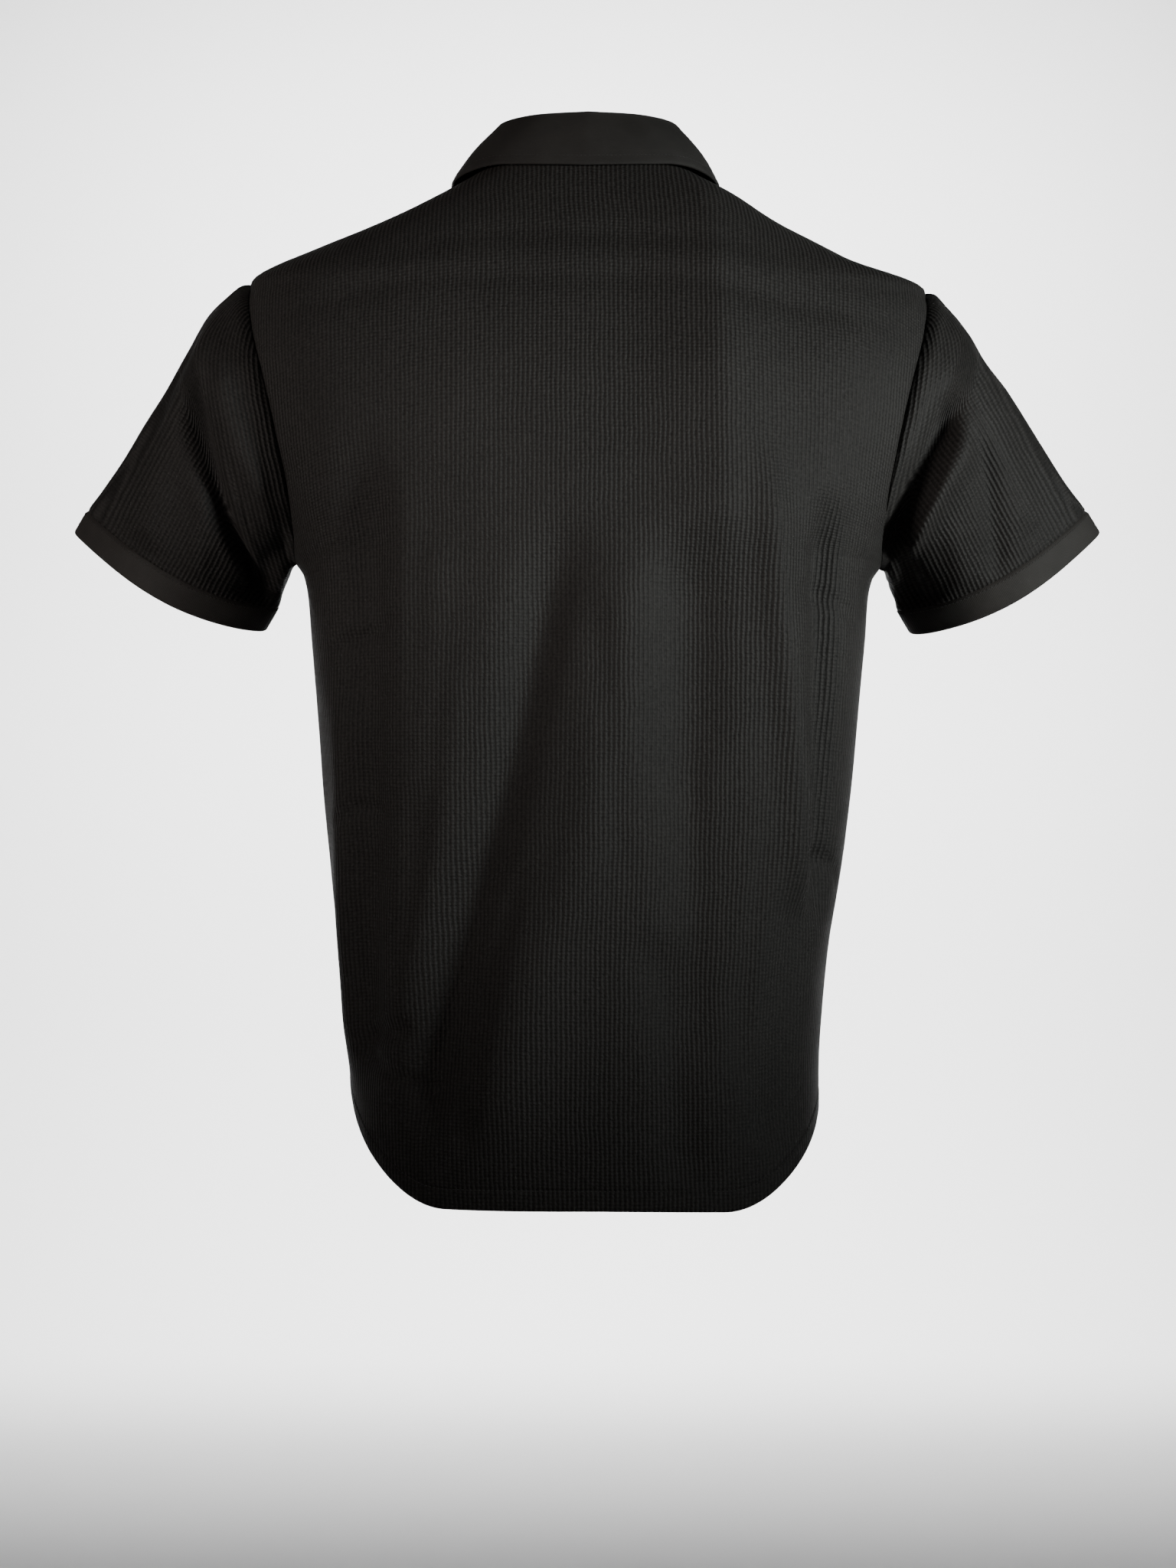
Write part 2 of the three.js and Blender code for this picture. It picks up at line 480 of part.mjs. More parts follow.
// One ring of a sleeve, with the armhole's own shape left in it near the seam.
function sleeveRingPoints(side, along, lift) {
  const loop = armholeLoop(side);
  const place = (ring, turn, radius) => {
    const isRight = side < 0 ? 1 : 0;
    const drop = (RIGHT_SLEEVE_DROP * along) / CUFF_START;
    const top = new THREE.Vector3(side * (ring.topX - isRight * ring.topIn), ring.middleY,
      ring.topZ - isRight * ring.topDrop);
    const low = new THREE.Vector3(side * ring.lowX, ring.middleY, ring.lowZ - isRight * drop);
    const major = top.clone().sub(low).multiplyScalar(0.5);
    const outward = new THREE.Vector3(side * major.z, 0, -side * major.x).normalize();
    const leanAngle = THREE.MathUtils.degToRad(ring.lean);
    const minor = outward.multiplyScalar(Math.sin(leanAngle)).add(new THREE.Vector3(0, Math.cos(leanAngle), 0));
    const depth = ring.half * Math.sin(turn) * (1 - ring.pinch * Math.cos(turn))
      * (1 - ring.lens * Math.cos(turn) ** 2);
    const radial = major.clone().multiplyScalar(Math.cos(turn) / major.lengthSq())
      .addScaledVector(minor, Math.sin(turn) / ring.half).normalize();
    return top.add(low).multiplyScalar(0.5)
      .addScaledVector(major, Math.cos(turn))
      .addScaledVector(minor, depth)
      .addScaledVector(radial, radius);
  };
  const ring = sleeveRing(along);
  const first = sleeveRing(0);
  return loop.map((seamPoint) => {
    const height = (seamPoint.z - ARMHOLE.middleZ) / ARMHOLE.halfHeight;
    const turn = Math.atan2(seamPoint.y / ARMHOLE.halfDepth, height);
    const degrees = (THREE.MathUtils.radToDeg(turn) + 360) % 360;
    const point = place(ring, turn, sleeveFoldHeight(side, along, degrees) + lift);
    return point.addScaledVector(seamPoint.clone().sub(place(first, turn, 0)), ring.seam);
  });
}

function sleeve(side) {
  const places = [0, 8, 20, 34, 48, 62, 82, 104, 126, 148, 170, 184, CUFF_START];
  const outer = places.map((along) => sleeveRingPoints(side, along, 0));
  outer[0].forEach((point) => point.setX(point.x + side * SEAM_GAP));
  const inner = outer.map((row, i) => row.map((point, j) => {
    const normal = i === 0 ? armholeDirection(point) : gridNormal(outer, i, j, true);
    return point.clone().addScaledVector(normal, -CLOTH_THICKNESS);
  }));
  return wallGeometry(outer, inner, { wraps: true });
}

function cuff(side) {
  const places = [CUFF_START + 3 * SEAM_GAP, 205, CUFF_EDGE];
  const outer = places.map((along) => sleeveRingPoints(side, along, CUFF_PROUD));
  const inner = outer.map((row, i) => row.map((point, j) => point.clone()
    .addScaledVector(gridNormal(outer, i, j, true), -CUFF_THICKNESS)));
  return wallGeometry(outer, inner, { wraps: true });
}

// A place on the body by its turn round the neck: 0 middle front, 1 shoulder seam, 2 middle back.
function turnPoint(side, turn, at, lift) {
  return turn < 1 ? bodyPoint('front', side, turn, at, lift) : bodyPoint('back', side, 2 - turn, at, lift);
}

// The face of the collar that is hidden between the stand and the leaf, from the neck seam up
// the stand, over the fold and down the leaf to its lower edge.
function collarProfile(side, turn) {
  const station = collarStation(turn);
  const seam = turnPoint(side, station.neckTurn, NECK, 0);
  seam.z += 2 * SEAM_GAP;
  const fold = new THREE.Vector3(side * station.foldX, station.foldY, station.foldZ);
  const outward = new THREE.Vector3(
    fold.x / COLLAR_LOOP.halfWidth ** 2, fold.y / COLLAR_LOOP.halfDepth ** 2, 0).normalize();
  const edge = turnPoint(side, station.edgeTurn, station.edgeAt, station.lift);
  const swellDirection = outward.clone().multiplyScalar(0.8).add(new THREE.Vector3(0, 0, 0.6));
  const besideFold = (direction) => fold.clone()
    .addScaledVector(outward, direction * COLLAR_FOLD_RADIUS)
    .setZ(fold.z - COLLAR_FOLD_RADIUS);
  const insideFold = besideFold(-1);
  const outsideFold = besideFold(1);
  const leaf = [0.22, 0.48, 0.74, 1].map((part) => outsideFold.clone().lerp(edge, part)
    .addScaledVector(swellDirection, station.swell * Math.sin(Math.PI * part)));
  return [seam, seam.clone().lerp(insideFold, 0.5), insideFold, fold, outsideFold, ...leaf];
}

function collar() {
  const halfTurns = [];
  for (let i = 0; i <= 20; i += 1) halfTurns.push((2 * i) / 20);
  const stations = [
    ...halfTurns.map((turn) => collarProfile(-1, turn)),
    ...halfTurns.slice(0, -1).reverse().map((turn) => collarProfile(1, turn)),
  ];
  const inner = stations[0].map((_, i) => stations.map((profile) => profile[i]));
  const outer = inner.map((row, i) => row.map((point, j) => point.clone()
    .addScaledVector(gridNormal(inner, i, j, false), COLLAR_THICKNESS)));
  return wallGeometry(outer, inner);
}

function button() {
  const outline = new THREE.Shape().absarc(0, 0, BUTTON_DIAMETER / 2, 0, Math.PI * 2);
  for (const [x, y] of [[-1, -1], [1, -1], [1, 1], [-1, 1]]) {
    outline.holes.push(new THREE.Path().absarc(x * BUTTON_HOLE_SPACING / 2, y * BUTTON_HOLE_SPACING / 2,
      BUTTON_HOLE_RADIUS, 0, Math.PI * 2, true));
  }
  return new THREE.ExtrudeGeometry(outline, {
    depth: BUTTON_THICKNESS,
    bevelEnabled: false,
    curveSegments: 10,
  });
}

const shirt = new THREE.Group();

function addPiece(name, geometry, { color, roughness }) {
  const bare = geometry.index ? geometry.toNonIndexed() : geometry;
  bare.deleteAttribute('uv');
  bare.computeVertexNormals();
  const mesh = new THREE.Mesh(bare, new THREE.MeshStandardMaterial({ color, roughness, metalness: 0 }));
  mesh.name = name;
  shirt.add(mesh);
  return mesh;
}

const knit = { color: 0x2a2826, roughness: 0.9 };
const smoothKnit = { color: 0x272523, roughness: 0.88 };
const buttonPlastic = { color: 0x1c1b1a, roughness: 0.4 };

addPiece('back_panel', backPanel(), knit);
addPiece('front_panel', frontPanel(), knit);
addPiece('sleeve_left', sleeve(1), knit);
addPiece('sleeve_right', sleeve(-1), knit);
addPiece('cuff_left', cuff(1), smoothKnit);
addPiece('cuff_right', cuff(-1), smoothKnit);
addPiece('collar', collar(), smoothKnit);
addPiece('placket_upper', placketStrip(SLIT_HALF_WIDTH + STRIP_OVERLAP, STRIP_FOOT, SEAM_GAP,
  SEAM_GAP + STRIP_THICKNESS), smoothKnit);
addPiece('placket_under', placketStrip(SLIT_HALF_WIDTH - SEAM_GAP, SLIT_FOOT + 2 * SEAM_GAP,
  -CLOTH_THICKNESS, 0), smoothKnit);

BUTTON_LEVELS.forEach((at, i) => {
  const mesh = addPiece(`button_${i + 1}`, button(), buttonPlastic);
  const facing = plainBodyNormal('front', 1, 0, at);
  mesh.quaternion.setFromUnitVectors(new THREE.Vector3(0, 0, 1), facing);
  mesh.position.copy(frontPoint(0, at, SEAM_GAP * 2 + STRIP_THICKNESS + BUTTON_REST));
});

export default shirt;
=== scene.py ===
import math
import bpy
import numpy as np
from mathutils import Matrix, Vector


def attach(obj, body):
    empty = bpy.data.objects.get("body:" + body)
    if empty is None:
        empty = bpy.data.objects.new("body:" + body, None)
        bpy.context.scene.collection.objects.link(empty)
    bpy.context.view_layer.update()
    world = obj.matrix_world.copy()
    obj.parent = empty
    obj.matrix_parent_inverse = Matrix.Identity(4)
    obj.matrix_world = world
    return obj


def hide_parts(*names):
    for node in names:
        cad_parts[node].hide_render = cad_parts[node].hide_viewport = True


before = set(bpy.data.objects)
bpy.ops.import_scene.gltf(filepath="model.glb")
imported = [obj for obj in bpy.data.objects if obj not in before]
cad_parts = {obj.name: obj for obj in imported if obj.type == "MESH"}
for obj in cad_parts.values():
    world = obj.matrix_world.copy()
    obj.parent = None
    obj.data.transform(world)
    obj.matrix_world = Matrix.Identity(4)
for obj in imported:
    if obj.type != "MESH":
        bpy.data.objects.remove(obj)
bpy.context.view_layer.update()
print("frame loaded")

# Lengths in the tables are millimetres, in the part's own frame: +Z up, front towards -Y.


def columns(names, rows):
    return {name: [row[i] for row in rows] for i, name in enumerate(names.split())}


def curveThrough(places, values):
    # a smooth curve through points that never swings past them
    x, y = np.array(places, float), np.array(values, float)
    if x[0] > x[-1]:
        x, y = x[::-1], y[::-1]
    slope = np.diff(y) / np.diff(x)
    lean = np.empty(len(x))
    lean[0], lean[-1] = slope[0], slope[-1]
    product = slope[:-1] * slope[1:]
    total = np.where(slope[:-1] + slope[1:] == 0, 1, slope[:-1] + slope[1:])
    lean[1:-1] = np.where(product <= 0, 0, 2 * product / total)

    def read(place):
        place = np.clip(np.asarray(place, float), x[0], x[-1])
        i = np.clip(np.searchsorted(x, place, side="right") - 1, 0, len(x) - 2)
        span = x[i + 1] - x[i]
        t = (place - x[i]) / span
        s = 1 - t
        return (y[i] * (1 + 2 * t) * s * s + lean[i] * span * t * s * s
                + y[i + 1] * t * t * (3 - 2 * t) - lean[i + 1] * span * t * t * s)
    return read


def tableCurves(table, placeName):
    return {name: curveThrough(table[placeName], table[name]) for name in table}


def smooth(value):
    value = np.clip(value, 0, 1)
    return value * value * (3 - 2 * value)


def unit(vectors):
    length = np.linalg.norm(vectors, axis=-1, keepdims=True)
    return vectors / np.where(length == 0, 1, length)


def wander(x, y, seed, size):
    # slow uneven swell between about -1 and 1, the same on every run
    rng = np.random.default_rng(seed)
    total = 0
    for scale in (1.0, 1.9, 3.3):
        for _ in range(3):
            turn, phase = rng.uniform(0, math.pi), rng.uniform(0, 2 * math.pi)
            wave = (x * math.cos(turn) + y * math.sin(turn)) * 2 * math.pi * scale / size
            total = total + np.sin(wave + phase) / scale
    return total / 4.2

# rings of the body from the hem to the neck, as the shirt is built up
bodyRings = columns("at sideX sideZ backY backZ frontY frontZ edgeBack edgeFront square shift flare drop", [
    (0, 158, -614, 127, -683.5, 121, -666, 0.15, 0.15, 2.5, 2, 0, 13),  # hem
    (60, 160, -576, 129, -622, 124, -612, 0.15, 0.15, 2.5, 3.2, 0, 4),  # tail
    (140, 165.5, -512, 131, -542, 127, -537, 0.15, 0.15, 2.5, 2.8, 0, 1),  # low
    (230, 175, -444, 133, -452, 130, -450, 0.15, 0.15, 2.5, 1, 0, 0),  # waist
    (370, 187, -312, 134, -312, 133, -312, 0.15, 0.15, 2.5, 0, 0, 1),  # chest
    (404, 189.5, -281, 134, -278, 133, -279, 0.15, 0.15, 2.5, 0, 0.5, 2),  # gusset
    (416, 192.8, -266.5, 133.7, -266, 132.8, -268, 0.15, 0.15, 2.5, 0, 2, 3),  # bend
    (424, 197.4, -259.5, 133.3, -258, 132.4, -261, 0.15, 0.15, 2.5, 0, 5.4, 3),  # underarm
    (432, 197.4, -256, 133, -250, 132, -254, 14, 14, 2.5, 0, 4.5, 3),  # scoop
    (444, 197.2, -246, 132.5, -238, 131, -244, 30, 31, 2.5, 0, 2.6, 3),  # scoopTop
    (474, 199.5, -216, 130.5, -208, 128, -219, 51, 54, 2.5, 0, 0.6, 2),  # blade
    (504, 206, -181, 127, -178, 123.5, -193, 57, 60, 2.45, 0, 0, 1),  # armMiddle
    (542, 217, -134, 120.5, -140, 115, -161, 50, 52, 2.35, 0, 0, 2),  # armHigh
    (574, 225.5, -101, 112, -108, 107.5, -136, 33, 34, 2.25, 0, 0, 4),  # head
    (594, 228.6, -80, 106, -88, 101, -121, 16, 16, 2.15, 0, 0, 5),  # headTop
    (610, 228.5, -69, 101, -72, 95.5, -109, 0.15, 0.15, 2.1, 0, 0, 6),  # shoulderPoint
    (636, 184, -46, 88, -42, 83, -96, 0.15, 0.15, 2.05, 0, 0, 14),  # shoulder
    (662, 130, -26.5, 73, -13, 73, -83, 0.15, 0.15, 2, 1.5, 0, 7.5),  # yoke
    (690, 74, 0.5, 56, 14, 64, -70, 0.15, 0.15, 2, 1.5, 0, 2),  # neck
])

# rings of a sleeve from the armhole to the cuff edge
sleeveRings = columns("along topX topZ lowX lowZ middleY half lean pinch lens seam topDrop topIn", [
    (0, 228.8, -68.6, 197.7, -259.5, -1, 58, 0, 0, 0, 1, 6, 0),
    (8, 235.2, -70, 200.2, -261.3, -1, 59.5, 1, 0, 0, 0.9, 5.5, 0),
    (20, 245.8, -78, 202.3, -264, -2, 60, 2, 0.02, 0, 0.7, 6, 1.5),
    (40, 260.5, -92.5, 203.8, -267, -4, 59, 4, 0.04, 0.02, 0.4, 6, 4),
    (62, 270.8, -110.5, 205, -269.5, -7, 57, 7, 0.08, 0.05, 0.15, 5, 4),
    (95, 287.7, -138.2, 206.5, -272.5, -13, 53.5, 10, 0.13, 0.12, 0, 3, 1.5),
    (130, 308.3, -169.3, 208, -275.5, -20, 49.5, 13, 0.18, 0.22, 0, 1, 1.5),
    (165, 329, -200, 210, -280, -27, 46, 16, 0.22, 0.32, 0, 0, 1.5),
    (196, 344.2, -219.6, 213, -286.8, -33, 44.5, 18, 0.26, 0.4, 0, 0, 1.5),
    (213.5, 353.8, -234.6, 222.3, -302, -37, 45, 19, 0.28, 0.42, 0, 0, 1),
])

# stations round half the collar, 0 at the middle front and 2 at the middle back
collarStations = columns("turn neckTurn foldX foldY foldZ edgeTurn edgeAt lift swell", [
    (0, 0.02, 3, -64, -45, 0.235, 588, 2.2, 1),
    (0.2, 0.18, 14, -63, -42, 0.27, 614, 2.4, 1.5),
    (0.5, 0.46, 38, -51, -27, 0.46, 653, 2.8, 2),
    (0.8, 0.76, 57, -27, 0, 0.79, 677, 3, 2.5),
    (1.05, 1.02, 64.5, 0, 23.5, 1.03, 682.5, 3, 2.5),
    (1.35, 1.36, 57.5, 26, 34, 1.36, 678, 3.2, 2.2),
    (1.7, 1.7, 32, 47, 36.5, 1.7, 674.5, 3.8, 2),
    (2, 2, 0, 54, 37, 2, 673, 4, 2),
])

cloth = {
    "thickness": 1.5, "hemThickness": 2.6, "hemHeight": 14.0, "hemGroove": 0.55, "hemStitch": 13.8,
    "hemRateSide": 0.7, "hemRateMiddle": 1.03, "levelRate": 1.655,
    "underarm": 424, "shoulderPoint": 610, "neck": 690,
    "seamRoll": 1.1, "seamRollWidth": 2.6,
    "armholeZ": -163, "armholeHalfHeight": 96, "armholeHalfDepth": 58,
    "rowStep": 3.4, "columnCount": 72, "mapRow": 370, "mapRise": 312,
}
slit = {"halfWidth": 14.0, "foot": 474}

# Folds of the body as soft troughs (depth under 0) and ridges. "round" is measured round the
# body from the middle of the back, with the wearer's left as plus.
bodyFolds = [
    dict(runs="down", z=[-622, -510, -396, -250], round=[104, 79, 50, 18], width=18, depth=-12),
    dict(runs="down", z=[-648, -540, -440, -250], round=[62, 34, -2, -34], width=27, depth=7.5),
    dict(runs="down", z=[-668, -590, -510], round=[-68, -60, -48], width=17, depth=-5.5),
    dict(runs="down", z=[-600, -450, -300, -200], round=[162, 157, 154, 150], width=19, depth=-9),
    dict(runs="down", z=[-560, -430, -300, -220], round=[132, 128, 124, 122], width=11, depth=2.5),
    dict(runs="down", z=[-590, -480, -350], round=[186, 180, 170], width=20, depth=5.5),
    dict(runs="down", z=[-480, -400, -290, -205], round=[-150, -142, -127, -118], width=13, depth=8),
    dict(runs="down", z=[-490, -400, -310, -230], round=[-174, -170, -165, -162], width=12, depth=-11),
    dict(runs="down", z=[-590, -440, -340, -250], round=[-84, -72, -66, -64], width=26, depth=-10),
    dict(runs="down", z=[-640, -560, -480], round=[-128, -136, -150], width=18, depth=-4.5),
    dict(runs="across", round=[118, 140, 168], z=[-568, -570, -576], width=7, depth=-3.5),
    dict(runs="across", round=[-215, -130, -40, 90, 205], z=[-104, -94, -76, -76, -94], width=9, depth=-1.6),
    dict(runs="down", z=[-628, -500, -380, -250], round=[420, 408, 392, 372], width=25, depth=-8.5),
    dict(runs="down", z=[-610, -480, -340, -240], round=[-432, -410, -396, -374], width=23, depth=-7.5),
    dict(runs="down", z=[-640, -520, -400], round=[484, 476, 470], width=24, depth=6.5),
    dict(runs="down", z=[-560, -430, -300], round=[330, 322, 316], width=18, depth=5.5),
    dict(runs="down", z=[-590, -460, -330], round=[-338, -326, -320], width=18, depth=5.5),
    # finer creases that the solids leave out
    dict(runs="down", z=[-262, -170, -80, 6], round=[-90, -89, -86, -76], width=38, depth=7.5),
    dict(runs="down", z=[-250, -170, -80, 0], round=[-88, -87, -84, -76], width=10, depth=1.5),
    dict(runs="down", z=[-560, -440, -330], round=[122, 96, 84], width=9, depth=2.2),
    dict(runs="down", z=[-640, -560, -470], round=[78, 66, 44], width=8, depth=-2.6),
    dict(runs="down", z=[-470, -370, -290], round=[-22, -14, -4], width=10, depth=-1.8),
    dict(runs="down", z=[-590, -480, -380], round=[-92, -84, -82], width=11, depth=2.2),
    dict(runs="down", z=[-420, -330, -250], round=[112, 104, 98], width=11, depth=1.8),
    dict(runs="down", z=[-600, -520, -440], round=[-106, -112, -120], width=8, depth=-2.0),
    dict(runs="across", round=[128, 158, 186], z=[-300, -312, -318], width=5, depth=-1.8),
    dict(runs="across", round=[134, 160, 190], z=[-428, -424, -432], width=5, depth=-1.5),
    dict(runs="across", round=[90, 130, 176], z=[-612, -598, -580], width=6, depth=-2.0),
    dict(runs="across", round=[-206, -180, -150], z=[-470, -458, -452], width=6, depth=-2.2),
    dict(runs="across", round=[-200, -170, -140], z=[-300, -286, -280], width=6, depth=-1.8),
    dict(runs="across", round=[-150, -60, 40, 140], z=[-66, -52, -46, -58], width=7, depth=-1.2),
    dict(runs="across", round=[330, 370, 410], z=[-282, -300, -306], width=7, depth=-2.2),
    dict(runs="across", round=[-330, -368, -404], z=[-290, -304, -312], width=7, depth=-2.2),
    dict(runs="down", z=[-560, -460, -380], round=[448, 440, 430], width=10, depth=-2.4),
    dict(runs="down", z=[-600, -500, -420], round=[-466, -456, -446], width=10, depth=2.4),
]
for fold in bodyFolds:
    down = fold["runs"] == "down"
    places, values = (fold["z"], fold["round"]) if down else (fold["round"], fold["z"])
    fold.update(down=down, start=min(places), end=max(places), path=curveThrough(places, values))


def bodyFoldHeight(rounds, z):
    height = np.zeros_like(z)
    for fold in bodyFolds:
        place, other = (z, rounds) if fold["down"] else (rounds, z)
        fade = (fold["end"] - fold["start"]) * 0.22
        strength = smooth((place - fold["start"]) / fade + 0.4) * smooth((fold["end"] - place) / fade + 0.4)
        across = other - fold["path"](place)
        height += fold["depth"] * strength * np.exp(-(across / fold["width"]) ** 2)
    return height


bodyRing = tableCurves(bodyRings, "at")
atLine = np.arange(0, cloth["neck"] + 0.5, 1.0)
shareLine = np.linspace(-1, 1, 601)
halves = {}


def towardsMiddle(share):
    # 0 at a panel's side seams and 1 over its middle, where the rings run higher or lower
    return smooth(cloth["levelRate"] * (1 - np.abs(share)))


def tabulateHalf(half):
    back = half == "back"
    ring = {name: curve(atLine) for name, curve in bodyRing.items()}
    share = np.abs(shareLine)
    turn = np.where(shareLine < 0, -1.0, 1.0)
    points = np.empty((len(atLine), len(shareLine), 3))
    lengths = np.empty(len(atLine))
    for i in range(len(atLine)):
        square, depth = ring["square"][i], ring["backY" if back else "frontY"][i]
        edge = ring["edgeBack" if back else "edgeFront"][i]
        flare = ring["flare"][i]
        reach = (ring["sideX"][i] - flare) / (1 - (edge / depth) ** square) ** (1 / square)
        angle = np.linspace(0, math.acos((edge / depth) ** (square / 2)), 400)
        x, y = reach * np.sin(angle) ** (2 / square), depth * np.cos(angle) ** (2 / square)
        along = np.concatenate([[0], np.cumsum(np.hypot(np.diff(x), np.diff(y)))])
        lengths[i] = along[-1]
        middleZ = ring["backZ" if back else "frontZ"][i]
        level = towardsMiddle(share)
        points[i, :, 0] = turn * (np.interp(share * along[-1], along, x)
                                  + flare * smooth((share - 0.72) / 0.28)) + ring["shift"][i]
        points[i, :, 1] = np.interp(share * along[-1], along, y) * (1 if back else -1)
        points[i, :, 2] = (ring["sideZ"][i] + (middleZ - ring["sideZ"][i]) * level
                           - np.where(turn < 0, ring["drop"][i] * share ** 2, 0))
    return points, lengths


def tableNormals(points, back):
    normal = unit(np.cross(np.gradient(points, axis=1), np.gradient(points, axis=0)))
    if back:
        normal = -normal
    at = atLine[:, None]
    for column in (0, -1):
        edge = normal[:, column]
        inArmhole = ((at >= cloth["underarm"]) & (at <= cloth["shoulderPoint"]))
        seam = np.stack([0 * edge[:, 0], points[:, column, 1] / cloth["armholeHalfDepth"] ** 2,
                         (points[:, column, 2] - cloth["armholeZ"]) / cloth["armholeHalfHeight"] ** 2], -1)
        normal[:, column] = np.where(inArmhole, unit(seam), unit(edge * [1, 0, 1]))
    return normal


def makeHalf(half):
    back = half == "back"
    points, lengths = tabulateHalf(half)
    length = lengths[:, None]
    share = np.abs(shareLine)[None, :]
    backLength = halves["back"]["lengths"][:, None] if not back else length
    rounds = share * length if back else backLength + (1 - share) * length
    rounds = rounds * np.where(shareLine < 0, -1, 1)[None, :]
    at = atLine[:, None]
    inArmhole = (at > cloth["underarm"] - 10) & (at < cloth["shoulderPoint"] + 6)
    fades = np.where(inArmhole, smooth((1 - share) * length / 24), 1) * smooth((cloth["neck"] - at) / 40)
    if not back:
        fades = fades * np.where(at > slit["foot"] - 60, smooth((share * length - 10) / 40), 1)
    height = bodyFoldHeight(rounds, points[..., 2]) * fades
    points = points + tableNormals(points, back) * height[..., None]
    step = np.linalg.norm(np.diff(points, axis=0), axis=-1)
    rise = np.concatenate([np.zeros((1, step.shape[1])), np.cumsum(step, axis=0)])
    halves[half] = dict(points=points, normals=tableNormals(points, back), lengths=lengths,
                        rise=rise - rise[cloth["mapRow"]] - cloth["mapRise"])


makeHalf("back")
makeHalf("front")


def readTable(table, share, at):
    share, at = np.broadcast_arrays(np.asarray(share, float), np.asarray(at, float))
    column = np.clip((share + 1) * (len(shareLine) - 1) / 2, 0, len(shareLine) - 1.0001)
    row = np.clip(at, 0, len(atLine) - 1.0001)
    i, j = row.astype(int), column.astype(int)
    s, t = row - i, column - j
    if table.ndim == 3:
        s, t = s[..., None], t[..., None]
    return ((table[i, j] * (1 - t) + table[i, j + 1] * t) * (1 - s)
            + (table[i + 1, j] * (1 - t) + table[i + 1, j + 1] * t) * s)


def onBody(half, share, at, lift=0.0):
    # a place on the outside of the cloth, moved out by "lift", and the way it faces
    normal = unit(readTable(halves[half]["normals"], share, at))
    return readTable(halves[half]["points"], share, at) + normal * np.asarray(lift)[..., None], normal


def ringLength(half, at):
    return np.interp(at, atLine, halves[half]["lengths"])


print("body form worked out")


def addCloth(name, outer, inner, uv, wraps=False, holes=None):
    # a closed thin wall between an outer and an inner net of points, with the knit's own UV map;
    # round a tube the map has one more column than the net
    rows, cols = outer.shape[:2]
    count = rows * cols
    number = np.arange(count).reshape(rows, cols)
    mapNumber = np.arange(uv.shape[0] * uv.shape[1]).reshape(uv.shape[:2])
    if wraps:
        number = np.concatenate([number, number[:, :1]], axis=1)
    keep = np.ones((rows - 1, number.shape[1] - 1), bool) if holes is None else ~holes

    def cells(net):
        return np.stack([net[:-1, :-1][keep], net[:-1, 1:][keep], net[1:, 1:][keep], net[1:, :-1][keep]], -1)

    quads, mapQuads = cells(number), cells(mapNumber)
    edges = {}
    for quad, places in zip(quads.tolist(), mapQuads.tolist()):
        for k in range(4):
            start, end = quad[k], quad[(k + 1) % 4]
            if (end, start) in edges:
                del edges[(end, start)]
            else:
                edges[(start, end)] = (places[k], places[(k + 1) % 4])
    rim, mapRim = np.array(list(edges), int), np.array(list(edges.values()), int)
    rimFaces = np.stack([rim[:, 1], rim[:, 0], rim[:, 0] + count, rim[:, 1] + count], -1)
    faces = np.concatenate([quads, quads[:, ::-1] + count, rimFaces])
    mapFaces = np.concatenate([mapQuads, mapQuads[:, ::-1], mapRim[:, [1, 0, 0, 1]]])
    points = np.concatenate([outer.reshape(-1, 3), inner.reshape(-1, 3)]) * 0.001
    mesh = bpy.data.meshes.new(name)
    mesh.from_pydata(points.tolist(), [], faces.tolist())
    layer = mesh.uv_layers.new(name="Cut")
    layer.data.foreach_set("uv", (uv.reshape(-1, 2)[mapFaces.ravel()] * 0.001).ravel())
    mesh.polygons.foreach_set("use_smooth", [True] * len(mesh.polygons))
    piece = bpy.data.objects.new(name, mesh)
    bpy.context.collection.objects.link(piece)
    if holes is not None:
        tidyLoose(piece)
    return piece


def tidyLoose(piece):
    # points of cells that were left out go
    bpy.ops.object.select_all(action="DESELECT")
    bpy.context.view_layer.objects.active = piece
    piece.select_set(True)
    bpy.ops.object.mode_set(mode="EDIT")
    bpy.ops.mesh.select_all(action="SELECT")
    bpy.ops.mesh.delete_loose(use_verts=True, use_edges=True, use_faces=False)
    bpy.ops.object.mode_set(mode="OBJECT")


def edgeRoll(distance, depth=None, width=None):
    # how far the cloth rolls in beside a seam
    depth = cloth["seamRoll"] if depth is None else depth
    width = cloth["seamRollWidth"] if width is None else width
    return depth * np.clip(1 - distance / width, 0, 1) ** 2


def bodyRows():
    hem = [0, 0.5, 1.3, 2.6, 5, 8, 10.8, 12.4, 13.2, 13.8, 14.4, 15.2, 16.6, 18.5]
    upper = np.linspace(21, cloth["neck"] - 3, int((cloth["neck"] - 24) / cloth["rowStep"]))
    return np.concatenate([hem, upper, [cloth["neck"] - 1.2, cloth["neck"]]])


def hemAt(row, share):
    # rows near the hem keep the turned-up hem the same height all round
    rate = cloth["hemRateSide"] + (cloth["hemRateMiddle"] - cloth["hemRateSide"]) * towardsMiddle(share)
    low = np.minimum(row, 18)
    return row + low * (1 / rate - 1) * (1 - smooth((row - 18) / 110))


def panelThickness(row):
    return np.where(row < cloth["hemHeight"], cloth["hemThickness"], cloth["thickness"])


seams = {"allowance": 4.0, "depth": 1.3}


